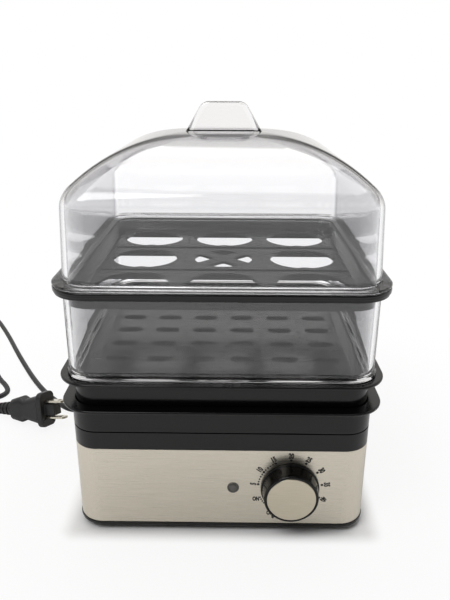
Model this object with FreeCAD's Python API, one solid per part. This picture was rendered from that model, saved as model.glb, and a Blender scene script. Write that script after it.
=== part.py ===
import FreeCAD, Part
import math

V = FreeCAD.Vector
UP = V(0, 0, 1)
BACK = V(0, 1, 0)
RIGHT = V(1, 0, 0)

# Millimetres. The floor is z 0 and the front faces -Y. The shapes are made about the middle of the base,
# and depth_shift then moves them so that the origin is under the middle of the whole depth, knob included.

# Plan of the stack: the walls of the tiers are over each other, and the trays' floors lie inside them
body_width = 174.6
body_corner = 15.5
flange_overhang = 5.2
tier_wall = 3.0
step_ledge = 2.1
dish_slope = 4.95
cells_across = 3
body_half = body_width / 2
flange_half = body_half + flange_overhang
flange_corner = body_corner + flange_overhang
tray_step_half = body_half - tier_wall
dish_half = tray_step_half - step_ledge
floor_half = dish_half - dish_slope
cell_pitch = 2 * floor_half / cells_across
tier_gap = 0.3
cut_overrun = 2.0
full_round_share = 0.99
cord_arc_share = 0.45

# Heights of the base
foot_height = 3.0
pan_thick = 2.4
band_height = 51.5
collar_height = 11.0
pan_low = foot_height
band_low = pan_low + pan_thick
band_high = band_low + band_height
collar_high = band_high + collar_height

# Base pan
pan_proud = 0.4
pan_edge_radius = 1.0
upstand_height = 8.0
upstand_wall = 1.8
upstand_gap = 0.3
vent_count = 7
vent_pitch = 9.0
vent_width = 3.0
vent_length = 34.0
vent_row_apart = 2.0
vent_row_y = (vent_length + vent_row_apart) / 2

# Rubber feet
foot_radius = 8.0
foot_edge = 0.8
foot_inset = 31.3
foot_place = body_half - foot_inset
stem_radius = 3.0
stem_gap = 0.1

# Steel band
band_thick = 0.6

# Upper housing, with its water basin
collar_wall = 2.0
skirt_height = 5.0
deck_drop = 5.9
deck_thick = 2.0
basin_inset = 29.3
basin_half = body_half - basin_inset
basin_corner = 8.0
basin_wall = 2.0
basin_low = 40.0
plate_inset = 8.0
seal_width = 6.0
plate_radius = basin_half - plate_inset
basin_hole_radius = plate_radius - seal_width
post_inset = 17.3
post_place = body_half - post_inset
post_radius = 4.5
deck_high = collar_high - deck_drop
basin_floor = basin_low + basin_wall

# Screws that hold pan and housing together
screw_radius = 1.5
screw_head_radius = 3.6
screw_head_high = 1.2
screw_reach = 20.0
screw_gap = 0.05
screw_head_gap = 0.3
slot_width = 0.8
slot_deep = 0.6

# Heater plate, its seal, clamp ring and nuts
plate_thick = 3.0
plate_edge = 1.0
seal_thick = 1.0
boss_gap = 0.6
boss_radius = basin_hole_radius - boss_gap
boss_deep = 6.0
stud_count = 3
stud_circle = (plate_radius + basin_hole_radius) / 2
stud_radius = 1.9
stud_gap = 0.2
stud_long = 8.0
clamp_thick = 1.5
clamp_inner_gap = 0.8
clamp_overhang = 2.0
clamp_inner = basin_hole_radius + clamp_inner_gap
clamp_outer = plate_radius + clamp_overhang
nut_width = 7.0
nut_high = 3.0
plate_low = basin_floor + seal_thick
plate_high = plate_low + plate_thick
boss_low = plate_low - boss_deep

# Heating element under the plate
element_inset = 9.4
element_circle = boss_radius - element_inset
element_radius = 3.3
element_sweep = 300.0
element_pin_radius = 1.5
element_pin_long = 8.0
element_gap = 0.05

# Boil-dry thermostat and its strap
stat_radius = 9.0
stat_high = 7.1
stat_tab_wide = 4.0
stat_tab_thick = 0.6
stat_tab_long = 6.0
stat_tab_apart = 8.0
stat_tab_low = 1.6
strap_half = 24.0
strap_width = 10.0
strap_thick = 1.0
strap_screw_place = 19.0
strap_post_radius = 3.0
strap_screw_radius = 1.4
strap_head_radius = 2.6
strap_head_high = 1.8
strap_screw_reach = 5.0

# Thermal fuse
fuse_radius = 2.0
fuse_long = 14.0
fuse_lead_radius = 0.6
fuse_lead_long = 4.0
fuse_y = 16.0
fuse_gap = 0.1

# Timer, seen from the front at knob_x, knob_z
knob_from_side = 46.4
knob_from_seam = 25.8
knob_x = body_half - knob_from_side
knob_z = band_low + knob_from_seam
timer_plate_size = 42.0
timer_plate_thick = 1.2
timer_case_size = 40.0
timer_case_deep = 18.0
timer_case_corner = 3.0
bushing_radius = 4.5
bushing_gap = 0.2
bushing_proud = 1.4
shaft_radius = 3.0
shaft_gap = 0.05
shaft_in_case = 8.0
shaft_flat = 1.0
bell_radius = 15.0
bell_wall = 0.8
bell_deep = 6.0
bell_post_radius = 2.0
timer_screw_apart = 11.0
timer_screw_radius = 1.5
timer_screw_hole_gap = 0.3
timer_head_radius = 2.7
timer_head_high = 1.9
timer_screw_reach = 6.0
timer_tab_apart = 13.0
timer_tab_wide = 6.3
timer_tab_thick = 0.8
timer_tab_long = 6.0
timer_tab_drop = 17.4

# Knob, with its metal face
knob_base_radius = 17.3
knob_base_high = 1.6
knob_radius = 16.6
knob_face_radius = 15.8
knob_deep = 10.6
knob_gap = 0.3
knob_wall = 2.2
knob_front_thick = 4.0
knob_hub_radius = 6.0
knob_hub_gap = 2.2
knob_edge = 0.5
cap_radius = 14.15
cap_thick = 0.9
cap_proud = 0.15
cap_edge = 0.2
pointer_width = 1.3
pointer_proud = 0.5
pointer_angle = 231.0
shaft_in_knob = 4.4

# Indicator lamp
lamp_from_knob = 33.6
lamp_x = knob_x - lamp_from_knob
lamp_z = knob_z
lens_radius = 3.45
lens_proud = 0.9
lens_edge = 0.7
lens_deep = 7.0
lens_gap = 0.1
holder_wall = 1.3
holder_deep = 15.0
neon_radius = 2.8
neon_long = 9.0
neon_lead_apart = 3.0

# Mains entry at the back
cord_inset = 42.3
cord_above_pan = 10.6
cord_x = cord_inset - body_half
cord_z = band_low + cord_above_pan
cord_diameter = 4.4
bush_flange_radius = 7.5
bush_flange_thick = 2.0
bush_neck_radius = 5.1
bush_neck_gap = 0.1
bush_barb_radius = 6.2
bush_barb_thick = 2.0
bush_tail = 25.0
bush_tail_start = 5.2
bush_tail_end = 3.3
bush_rib_count = 5
bush_rib_thick = 2.2
bush_rib_proud = 0.7
bush_bore_gap = 0.05
block_long = 30.0
block_deep = 16.0
block_high = 16.0
block_inset = 47.3
block_front = body_half - block_inset
block_edge = 1.0
block_hole_radius = 2.0
block_hole_deep = 4.0
block_hole_apart = 10.0
saddle_width = 24.0
saddle_deep = 7.0
saddle_inset = 15.3
saddle_y = body_half - saddle_inset
bridge_high = 7.4
clamp_screw_apart = 8.0
clamp_screw_radius = 1.5
clamp_head_radius = 2.7
clamp_head_high = 1.8
clamp_screw_reach = 5.0
wire_radius = 1.0
lamp_wire_radius = 0.7
wire_start = 4.0

# Lower bowl, which stands on the collar
bowl_floor_thick = 2.0
bowl_wall = 2.0
bowl_height = 16.4
bowl_lip_height = 7.0
bowl_lip_wall = 1.8
rim_thick = 2.0
tower_radius = 26.0
tower_high = 7.0
tower_wall = 2.0
tower_slot_count = 10
tower_slot_width = 3.0
tower_slot_in = 9.0
tower_slot_out = 21.0
bowl_low = collar_high + tier_gap
bowl_floor = bowl_low + bowl_floor_thick
bowl_high = bowl_low + bowl_height

# Steam tray with slots, nested in the bowl
tray_rise = 16.4
tray_wall = 1.8
tray_nest_gap = 0.4
tray_floor_thick = 2.0
tray_floor_drop = 7.0
tray_step = 1.8
dish_corner_ease = 0.5
dish_corner = body_corner - tier_wall + dish_corner_ease
dish_floor_corner = dish_corner - dish_slope
slot_columns = 6
slot_rows = 7
slot_long = 16.0
slot_wide = 7.2
rib_width = 0.9
rib_high = 0.6
tray_low = bowl_floor + tier_gap
tray_high = bowl_high + tray_rise
tray_floor = tray_high - tray_floor_drop

# Clear tier ring
ring_wall = 2.6
ring_height = 48.0
ring_bead = 1.1
ring_bead_high = 2.6
ring_lip_wall = 1.8
ring_lip_deep = 1.4
ring_lip_gap = 0.3
ring_low = tray_high + tier_gap
ring_high = ring_low + ring_height

# Egg tray
egg_rim_lower = 1.7
egg_rim_inset = 0.8
egg_rim_upper = 2.9
egg_skirt = 6.6
egg_skirt_wall = 1.8
egg_skirt_gap = 0.3
egg_step = 2.0
egg_floor_drop = 7.5
egg_floor_thick = 2.0
egg_hole_radius = 20.6
egg_bump_radius = 6.0
egg_bump_in = 1.7
egg_notch_radius = 2.1
egg_rib_width = 1.4
egg_rib_high = 0.9
cross_radius = 19.0
cross_arm = 9.0
petal_round = 1.8
egg_low = ring_high + tier_gap
egg_high = egg_low + egg_rim_lower + egg_rim_upper
egg_floor = egg_high - egg_floor_drop

# Lid
lid_rim_thick = 1.8
lid_wall = 2.4
lid_inset = 0.7
lid_draft = 1.2
lid_half_low = body_half - lid_inset
lid_half_high = lid_half_low - lid_draft
lid_wall_height = 40.0
lid_corner = body_corner
shoulder_radius = 15.1
shoulder_steps = 5
crown_steps = 6
crown_slope = 44.0
crown_half = 19.2
crown_rise = 34.0
lid_lip_deep = 1.9
lid_lip_wall = 1.8
lid_lip_gap = 0.3
handle_base_half = 23.8
handle_top_half = 12.9
handle_high = 17.2
handle_thick = 12.0
handle_round = 6.0
handle_wall = 2.2
handle_edge = 2.0
handle_root = 1.2
steam_slot_long = 12.0
steam_slot_wide = 2.4
steam_slot_inset = 16.8
steam_slot_x = body_half - steam_slot_inset
steam_slot_y = 38.0
lid_low = egg_high + tier_gap
lid_wall_high = lid_low + lid_wall_height
crown_high = lid_wall_high + crown_rise

# Plug, built along +X with its face at 0 and its cord end at -plug_long
plug_half_wide = 13.5
plug_half_thick = 8.5
plug_flange = 4.5
plug_corner = 4.5
plug_neck_half_wide = 11.4
plug_neck_half_thick = 7.8
plug_waist_half_wide = 8.0
plug_waist_half_thick = 6.6
plug_grip_half_wide = 10.2
plug_grip_half_thick = 6.8
plug_waist_at = 19.0
plug_grip_at = 23.0
plug_body_long = 32.0
plug_boss_half = 4.4
plug_boss_long = 9.0
plug_long = 52.0
blade_apart = 12.7
blade_wide = 6.35
blade_thick = 1.5
blade_long = 16.5
blade_root = 6.0
blade_tip = 1.6
blade_hole_radius = 1.5
blade_hole_in = 4.5
relief_start = 5.0
relief_end = 3.1
relief_ribs = 5
relief_rib_thick = 2.2
relief_rib_proud = 0.9
plug_azimuth = -18.6
plug_elevation = 10.6
plug_roll = -14.0

# Cord: a limp two-core lead, laid on the floor round the back left
cord_radius = cord_diameter / 2
cord_rest = 0.05
cord_lie = cord_radius + cord_rest
depth_shift = (body_half + knob_gap + knob_deep + cap_proud - flange_half) / 2
back_face = body_half
bush_end = back_face + bush_tail
bush_run = 15.0
cord_exit = V(cord_x, bush_end, cord_z)
plug_end = V(-186.0, 43.9, 5.6)
plug_run = 13.3
coil_centre = V(-260.0, 157.0, 0)
coil_radius = 23.5
coil_pitch = 4.9
coil_turns = 2.25
coil_first_angle = 180.0
coil_rest = 0.65
coil_lead = cord_diameter
coil_run = 12.0
coil_low = cord_radius + coil_rest
tie_thick = 0.5
tie_width = 5.0
tie_gap = 0.25
tie_turn = 0.125
gap_samples = 400


def outline(half_x, half_y, corner, z):
    """A closed wire: a rectangle with round corners, at height z."""
    edges = []
    quarter = math.radians(45)
    ends = []
    for turn in range(4):
        side_x = 1 if turn in (0, 3) else -1
        side_y = 1 if turn in (0, 1) else -1
        middle = V(side_x * (half_x - corner), side_y * (half_y - corner), z)
        start = turn * 2 * quarter
        arc = [middle + V(math.cos(a), math.sin(a), 0) * corner
               for a in (start, start + quarter, start + 2 * quarter)]
        ends.append(arc)
    for turn in range(4):
        arc = ends[turn]
        edges.append(Part.Arc(*arc).toShape())
        edges.append(Part.LineSegment(arc[2], ends[(turn + 1) % 4][0]).toShape())
    return Part.Wire(edges)


def slab(half_x, half_y, corner, low, high):
    """A rectangular block with round upright edges."""
    return Part.Face(outline(half_x, half_y, corner, low)).extrude(UP * (high - low))


def square(half, corner, low, high):
    return slab(half, half, corner, low, high)


def frame(half, corner, wall, low, high):
    """An upright wall that runs round a square."""
    inner = square(half - wall, corner - wall, low - cut_overrun, high + cut_overrun)
    return square(half, corner, low, high).cut(inner)


def taper(half_low, corner_low, low, half_high, corner_high, high):
    """A solid between two round-cornered squares."""
    ends = [outline(half_low, half_low, corner_low, low),
            outline(half_high, half_high, corner_high, high)]
    return Part.makeLoft(ends, True, True)


def disc(radius, low, high, x=0, y=0):
    return Part.makeCylinder(radius, high - low, V(x, y, low), UP)


def rod(radius, front, back, x, z):
    """A cylinder along Y."""
    return Part.makeCylinder(radius, back - front, V(x, front, z), BACK)


def box(x, y, z):
    """A box from three (low, high) pairs."""
    return Part.makeBox(x[1] - x[0], y[1] - y[0], z[1] - z[0], V(x[0], y[0], z[0]))


def around(middle, half):
    return (middle - half, middle + half)


def corners(place):
    return [(x, y) for x in (-place, place) for y in (-place, place)]


def fused(first, *others):
    return first.multiFuse(list(others)).removeSplitter()


def save(name, *solids):
    """One STEP file for a node, which holds one solid or a group of them."""
    found = [solid for shape in solids for solid in shape.Solids]
    for solid in found:
        if not solid.isValid():
            raise ValueError(name + " has a solid that isn't valid")
    shape = found[0] if len(found) == 1 else Part.makeCompound(found)
    shape.translate(V(0, depth_shift, 0))
    shape.exportStep("parts/" + name + ".step")
    print(name, len(found), "solids", round(shape.Volume), "mm3")


def rounded_path(points):
    """Straight runs joined by arcs that touch them, and the arcs' radii."""
    edges = []
    radii = []
    at = points[0]
    for before, corner, after in zip(points, points[1:], points[2:]):
        come = (corner - before).normalize()
        go = (after - corner).normalize()
        half_turn = come.getAngle(go) / 2
        trim = cord_arc_share * min(before.distanceToPoint(corner), after.distanceToPoint(corner))
        radius = trim / math.tan(half_turn)
        radii.append(radius)
        inward = (go - come).normalize()
        middle = corner + inward * (radius / math.cos(half_turn) - radius)
        start = corner - come * trim
        end = corner + go * trim
        edges.append(Part.LineSegment(at, start).toShape())
        edges.append(Part.Arc(start, middle, end).toShape())
        at = end
    edges.append(Part.LineSegment(at, points[-1]).toShape())
    return Part.Wire(edges), radii


def tube(path, radius):
    """A round section swept along a wire."""
    first = path.OrderedEdges[0]
    start = first.valueAt(first.FirstParameter)
    along = first.tangentAt(first.FirstParameter)
    section = Part.Wire(Part.makeCircle(radius, start, along))
    return path.makePipeShell([section], True, False)


def routed(name, points, radius):
    """A tube along a route, with its radii and volume printed."""
    path, radii = rounded_path(points)
    solid = tube(path, radius)
    share = solid.Volume / (math.pi * radius ** 2 * path.Length)
    if radii:
        print(name, "length", round(path.Length, 1), "volume over section by length", round(share, 4),
              "radii", [round(r, 1) for r in radii])
    return solid


def biarc(start, start_way, end, end_way):
    """Two arcs that leave start along start_way and reach end along end_way."""
    reach = end - start
    ways = start_way + end_way
    bend = 2 * (1 - start_way.dot(end_way))
    lean = reach.dot(ways)
    span = (math.sqrt(lean ** 2 + bend * reach.dot(reach)) - lean) / bend
    first = start + start_way * span
    second = end - end_way * span
    joint = (first + second) * 0.5
    return [arc_from(start, first, joint), arc_from(joint, second, end)]


def arc_from(start, corner, end):
    """The arc that touches start-corner and corner-end."""
    come = (corner - start).normalize()
    go = (end - corner).normalize()
    half_turn = come.getAngle(go) / 2
    trim = corner.distanceToPoint(start)
    radius = trim / math.tan(half_turn)
    inward = (go - come).normalize()
    middle = corner + inward * (radius / math.cos(half_turn) - radius)
    return Part.Arc(start, middle, end).toShape()


def screw(radius, reach, head_radius, head_high, seat, way):
    """A slotted round-head screw whose head stands on seat, with its shank along way."""
    shank = Part.makeCylinder(radius, reach, seat, way)
    head = Part.makeCylinder(head_radius, head_high, seat - way * head_high, way)
    whole = fused(shank, head)
    notch = Part.makeBox(2 * head_radius + cut_overrun, slot_width, slot_deep,
                         V(-head_radius - cut_overrun / 2, -slot_width / 2, 0))
    notch.Placement = FreeCAD.Placement(seat - way * head_high, FreeCAD.Rotation(UP, way)) * notch.Placement
    return whole.cut(notch)


def egg_hole():
    """Cutter for one egg seat: a circle with a bump front and back and a notch each side."""
    low = -cut_overrun - egg_floor_thick
    hole = disc(egg_hole_radius, low, cut_overrun)
    away = egg_hole_radius + egg_bump_radius - egg_bump_in
    bumps = [disc(egg_bump_radius, low - cut_overrun, 2 * cut_overrun, y=y) for y in (-away, away)]
    notches = [disc(egg_notch_radius, low, cut_overrun, x=x) for x in (-egg_hole_radius, egg_hole_radius)]
    return fused(hole.cut(bumps), *notches)


def cross_holes():
    """Cutter for the middle cell: four petals that leave a diagonal cross."""
    low = -cut_overrun - egg_floor_thick
    round_cell = disc(cross_radius, low, cut_overrun)
    arms = []
    for angle in (45, -45):
        arm = Part.makeBox(4 * cross_radius, cross_arm, cut_overrun - low + cut_overrun,
                           V(-2 * cross_radius, -cross_arm / 2, low - cut_overrun / 2))
        arm.rotate(V(0, 0, 0), UP, angle)
        arms.append(arm)
    petals = round_cell.cut(arms)
    soft = []
    for petal in petals.Solids:
        upright = [e for e in petal.Edges if abs(e.tangentAt(e.FirstParameter).dot(UP)) > 0.99]
        soft.append(petal.makeFillet(petal_round, upright))
    return soft


def ribs(lines_x, lines_y, half, width, low, high):
    """Raised lines on a tray floor, at each x and each y."""
    bars = [box(around(x, width / 2), (-half, half), (low, high)) for x in lines_x]
    bars += [box((-half, half), around(y, width / 2), (low, high)) for y in lines_y]
    return bars


def dish(floor, rim, thick):
    """A shallow tray with sloping sides, whose floor is at floor and top edge at rim."""
    outer = taper(floor_half + thick, dish_floor_corner + thick, floor - thick,
                  dish_half + thick, dish_corner + thick, rim)
    inner = taper(floor_half, dish_floor_corner, floor, dish_half, dish_corner, rim)
    over = square(dish_half, dish_corner, rim, rim + cut_overrun)
    return outer, [inner, over]


def make_pan():
    pan = square(body_half + pan_proud, body_corner + pan_proud, pan_low, band_low)
    under = [e for e in pan.Edges if e.BoundBox.ZMax < pan_low + pan_edge_radius]
    pan = pan.makeFillet(pan_edge_radius, under)
    inside = body_half - band_thick - upstand_gap
    wall = frame(inside, body_corner - band_thick - upstand_gap, upstand_wall,
                 band_low, band_low + upstand_height)
    seat_high = cord_z - cord_radius
    saddle = box(around(cord_x, saddle_width / 2), around(saddle_y, saddle_deep / 2), (band_low, seat_high))
    pan = fused(pan, wall, saddle)
    cuts = [disc(stem_radius + stem_gap, pan_low - cut_overrun, band_low + cut_overrun, x, y)
            for x, y in corners(foot_place)]
    for x, y in corners(post_place):
        cuts.append(disc(screw_radius + screw_head_gap, pan_low - cut_overrun, band_low + cut_overrun,
                         x, y))
        cuts.append(disc(screw_head_radius + screw_head_gap, pan_low - cut_overrun,
                         pan_low + screw_head_high, x, y))
    for row in (-vent_row_y, vent_row_y):
        for n in range(vent_count):
            x = (n - (vent_count - 1) / 2) * vent_pitch
            cuts.append(box(around(x, vent_width / 2), around(row, vent_length / 2),
                            (pan_low - cut_overrun, band_low + cut_overrun)))
    cuts.append(rod(bush_barb_radius + upstand_gap, body_half - band_thick - upstand_gap - upstand_wall
                    - cut_overrun, body_half, cord_x, cord_z))
    room = timer_plate_size / 2 + upstand_gap
    cuts.append(box(around(knob_x, room), (-body_half, -body_half + 2 * band_thick + upstand_wall),
                    (knob_z - room, band_low + upstand_height + cut_overrun)))
    for x in (cord_x - clamp_screw_apart, cord_x + clamp_screw_apart):
        cuts.append(disc(clamp_screw_radius + screw_gap, seat_high - clamp_screw_reach, seat_high,
                         x, saddle_y))
    save("base_pan", pan.cut(cuts))


def make_feet():
    feet = []
    for x, y in corners(foot_place):
        pad = disc(foot_radius, 0, pan_low, x, y)
        rim = [e for e in pad.Edges if e.BoundBox.ZMax < foot_edge]
        feet.append(fused(pad.makeFillet(foot_edge, rim), disc(stem_radius, pan_low, band_low, x, y)))
    save("rubber_feet", *feet)


def make_base_screws():
    seat = pan_low + screw_head_high
    save("base_screws", *[screw(screw_radius, screw_reach, screw_head_radius, screw_head_high,
                                V(x, y, seat), UP) for x, y in corners(post_place)])


def make_band():
    band = frame(body_half, body_corner, band_thick, band_low, band_high)
    front = -body_half - cut_overrun
    inside = -body_half + band_thick + cut_overrun
    cuts = [rod(bushing_radius + bushing_gap, front, inside, knob_x, knob_z),
            rod(lens_radius + lens_gap, front, inside, lamp_x, lamp_z)]
    for x in (knob_x - timer_screw_apart, knob_x + timer_screw_apart):
        cuts.append(rod(timer_screw_radius + timer_screw_hole_gap, front, inside, x, knob_z))
    cuts.append(rod(bush_neck_radius + bush_neck_gap, body_half - band_thick - cut_overrun,
                    body_half + cut_overrun, cord_x, cord_z))
    save("steel_band", band.cut(cuts))


def make_housing():
    collar = frame(body_half, body_corner, collar_wall, band_high, collar_high)
    inside = body_half - band_thick - upstand_gap
    skirt = frame(inside, body_corner - band_thick - upstand_gap, upstand_wall,
                  band_high - skirt_height, band_high + deck_thick)
    deck = square(body_half - collar_wall / 2, body_corner - collar_wall / 2,
                  deck_high - deck_thick, deck_high)
    basin = square(basin_half, basin_corner, basin_low, deck_high)
    posts = [disc(post_radius, band_low, deck_high, x, y) for x, y in corners(post_place)]
    housing = fused(collar, skirt, deck, basin, *posts)
    cuts = [square(basin_half - basin_wall, basin_corner - basin_wall, basin_floor, deck_high + cut_overrun),
            disc(basin_hole_radius, basin_low - cut_overrun, basin_floor + cut_overrun)]
    screw_top = pan_low + screw_head_high + screw_reach
    cuts += [disc(screw_radius + screw_gap, band_low - cut_overrun, screw_top, x, y)
             for x, y in corners(post_place)]
    cuts += [disc(stud_radius + stud_gap, basin_low - cut_overrun, basin_floor + cut_overrun, x, y)
             for x, y in studs()]
    room = timer_plate_size / 2 + upstand_gap
    cuts.append(box(around(knob_x, room), (-body_half, -basin_half - basin_wall),
                    (band_low, knob_z + room)))
    save("upper_housing", housing.cut(cuts))


def studs():
    """Places of the heater plate's studs."""
    places = []
    for n in range(stud_count):
        angle = math.radians(90 + n * 360 / stud_count)
        places.append((stud_circle * math.cos(angle), stud_circle * math.sin(angle)))
    return places


def make_heater():
    plate = disc(plate_radius, plate_low, plate_high)
    rim = [e for e in plate.Edges if e.BoundBox.ZMin > plate_high - plate_edge]
    plate = plate.makeFillet(plate_edge, rim)
    boss = disc(boss_radius, boss_low, plate_low)
    pins = [disc(stud_radius, plate_low - stud_long, plate_low, x, y) for x, y in studs()]
    stat_low = boss_low - stat_high
    posts = [disc(strap_post_radius, stat_low, boss_low, x)
             for x in (-strap_screw_place, strap_screw_place)]
    holes = [disc(strap_screw_radius + screw_gap, stat_low, stat_low + strap_screw_reach, x)
             for x in (-strap_screw_place, strap_screw_place)]
    save("heater_plate", fused(plate, boss, *pins, *posts).cut(holes))

    seal = disc(plate_radius, basin_floor, plate_low).cut(
        [disc(basin_hole_radius, basin_floor - cut_overrun, plate_low + cut_overrun)]
        + [disc(stud_radius + stud_gap, basin_floor - cut_overrun, plate_low + cut_overrun, x, y)
           for x, y in studs()])
    save("plate_seal", seal)

    ring_low_z = basin_low - clamp_thick
    ring = disc(clamp_outer, ring_low_z, basin_low).cut(
        [disc(clamp_inner, ring_low_z - cut_overrun, basin_low + cut_overrun)]
        + [disc(stud_radius + stud_gap, ring_low_z - cut_overrun, basin_low + cut_overrun, x, y)
           for x, y in studs()])
    save("heater_clamp", ring)

    nuts = []
    for x, y in studs():
        nut = Part.Face(hexagon(nut_width, x, y, ring_low_z - nut_high)).extrude(UP * nut_high)
        nuts.append(nut.cut(disc(stud_radius + screw_gap, ring_low_z - nut_high - cut_overrun,
                                 ring_low_z + cut_overrun, x, y)))
    save("heater_nuts", *nuts)


def hexagon(width, x, y, z):
    """A closed wire with six sides, this wide across its flats."""
    reach = width / math.sqrt(3)
    turns = [2 * math.pi * n / 6 for n in range(7)]
    return Part.makePolygon([V(x + reach * math.cos(a), y + reach * math.sin(a), z) for a in turns])


def element_end(side):
    """Plan place of one end of the heating element, side -1 or 1."""
    angle = math.radians(-90 + side * (360 - element_sweep) / 2)
    return element_circle * math.cos(angle), element_circle * math.sin(angle)


def make_element():
    height = boss_low - element_radius - element_gap
    start_x, start_y = element_end(1)
    along = V(-start_y, start_x, 0).normalize()
    section = Part.Face(Part.Wire(Part.makeCircle(element_radius, V(start_x, start_y, height), along)))
    coil = section.revolve(V(0, 0, 0), UP, element_sweep)
    pins = [disc(element_pin_radius, height - element_radius - element_pin_long, height, *element_end(side))
            for side in (-1, 1)]
    caps = [Part.makeSphere(element_radius, V(*element_end(side), height)) for side in (-1, 1)]
    save("heating_element", fused(coil, *caps, *pins))


def make_thermostat():
    low = boss_low - stat_high
    body = disc(stat_radius, low, boss_low)
    tab_low = low + stat_tab_low
    tabs = [box(around(x, stat_tab_wide / 2), (-stat_radius - stat_tab_long, 0),
                (tab_low, tab_low + stat_tab_thick)) for x in (-stat_tab_apart / 2, stat_tab_apart / 2)]
    save("thermostat", fused(body, *tabs))
    strap = slab(strap_half, strap_width / 2, strap_width / 4, low - strap_thick, low)
    holes = [disc(strap_screw_radius + screw_gap, low - strap_thick - cut_overrun, low + cut_overrun, x)
             for x in (-strap_screw_place, strap_screw_place)]
    save("thermostat_strap", strap.cut(holes))
    seat = low - strap_thick
    save("strap_screws", *[screw(strap_screw_radius, strap_screw_reach, strap_head_radius, strap_head_high,
                                 V(x, 0, seat), UP) for x in (-strap_screw_place, strap_screw_place)])


def make_fuse():
    height = boss_low - fuse_radius - fuse_gap
    half = fuse_long / 2
    body = Part.makeCylinder(fuse_radius, fuse_long, V(-half, fuse_y, height), RIGHT)
    lead = Part.makeCylinder(fuse_lead_radius, fuse_long + 2 * fuse_lead_long,
                             V(-half - fuse_lead_long, fuse_y, height), RIGHT)
    save("thermal_fuse", fused(body, lead))


def make_timer():
    inside = -body_half + band_thick
    plate_back = inside + timer_plate_thick
    case_back = plate_back + timer_case_deep
    half = timer_plate_size / 2
    bores = [rod(shaft_radius + shaft_gap, inside - bushing_proud - cut_overrun, plate_back + shaft_in_case,
                 knob_x, knob_z)]
    for x in (knob_x - timer_screw_apart, knob_x + timer_screw_apart):
        bores.append(rod(timer_screw_radius + screw_gap, inside - cut_overrun,
                         -body_half + timer_screw_reach, x, knob_z))
    plate = box(around(knob_x, half), (inside, plate_back), around(knob_z, half))
    bushing = rod(bushing_radius, inside - band_thick - bushing_proud, inside, knob_x, knob_z)
    save("timer_plate", fused(plate, bushing).cut(bores))

    half = timer_case_size / 2
    case = box(around(knob_x, half), (plate_back, case_back), around(knob_z, half))
    along = [e for e in case.Edges if abs(e.tangentAt(e.FirstParameter).dot(BACK)) > 0.99]
    case = case.makeFillet(timer_case_corner, along)
    post = rod(bell_post_radius, case_back, case_back + bell_deep - bell_wall, knob_x, knob_z)
    save("timer_case", fused(case, post).cut(bores))

    bell = rod(bell_radius, case_back + bell_wall, case_back + bell_deep, knob_x, knob_z)
    hollow = rod(bell_radius - bell_wall, case_back, case_back + bell_deep - bell_wall, knob_x, knob_z)
    save("timer_bell", bell.cut(hollow))

    tab_z = knob_z - timer_tab_drop
    tabs = [box(around(knob_x + n * timer_tab_apart, timer_tab_wide / 2),
                (case_back, case_back + timer_tab_long),
                around(tab_z, timer_tab_thick / 2)) for n in (-1, 0, 1)]
    save("timer_tabs", *tabs)

    seat = -body_half
    save("timer_screws", *[screw(timer_screw_radius, timer_screw_reach, timer_head_radius, timer_head_high,
                                 V(x, seat, knob_z), BACK)
                           for x in (knob_x - timer_screw_apart, knob_x + timer_screw_apart)])


def knob_turned(points):
    """A solid of revolution about the knob's axis, from (radius, depth from the steel) points."""
    outline_points = [V(knob_x + radius, -body_half - depth, knob_z) for radius, depth in points]
    face = Part.Face(Part.makePolygon(outline_points + outline_points[:1]))
    return face.revolve(V(knob_x, 0, knob_z), BACK, 360)


def flat_cut(front, back):
    """Cutter that makes the flat of the timer's D shaft."""
    return box(around(knob_x, shaft_radius + cut_overrun), (front, back),
               (knob_z + shaft_radius - shaft_flat, knob_z + shaft_radius + cut_overrun))


def make_knob():
    front = knob_gap + knob_deep
    recess = front - cap_thick + cap_proud
    inner = knob_radius - knob_wall
    hollow_end = front - knob_front_thick
    body = knob_turned([(0, knob_gap), (knob_base_radius, knob_gap), (knob_base_radius, knob_base_high),
                        (knob_radius, knob_base_high), (knob_face_radius, front - knob_edge),
                        (knob_face_radius - knob_edge, front), (0, front)])
    hollow = knob_turned([(0, knob_gap - cut_overrun), (inner, knob_gap - cut_overrun), (inner, hollow_end),
                          (0, hollow_end)])
    hub = knob_turned([(0, knob_gap + knob_hub_gap), (knob_hub_radius, knob_gap + knob_hub_gap),
                       (knob_hub_radius, hollow_end), (0, hollow_end)])
    seat = knob_turned([(0, recess), (cap_radius, recess), (cap_radius, front + cut_overrun),
                        (0, front + cut_overrun)])
    nib = box(around(knob_x, pointer_width / 2),
              (-body_half - front + knob_edge, -body_half - knob_base_high),
              (knob_z + knob_face_radius - knob_wall / 2, knob_z + knob_radius + pointer_proud))
    nib.rotate(V(knob_x, 0, knob_z), BACK, 90 - pointer_angle)
    shaft_front = -body_half - hollow_end
    bore = rod(shaft_radius, shaft_front, -body_half, knob_x, knob_z).cut(
        flat_cut(shaft_front, -body_half))
    knob = fused(body.cut(hollow), hub, nib).cut([seat, bore])
    save("knob", knob)

    cap_front = front + cap_proud
    cap = knob_turned([(0, recess), (cap_radius, recess), (cap_radius, cap_front - cap_edge),
                       (cap_radius - cap_edge, cap_front), (0, cap_front)])
    save("knob_face", cap)

    shaft_back = -body_half + band_thick + timer_plate_thick + shaft_in_case - shaft_gap
    shaft = rod(shaft_radius, shaft_front, shaft_back, knob_x, knob_z)
    save("timer_shaft", shaft.cut(flat_cut(shaft_front, shaft_front + shaft_in_knob)))


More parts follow.
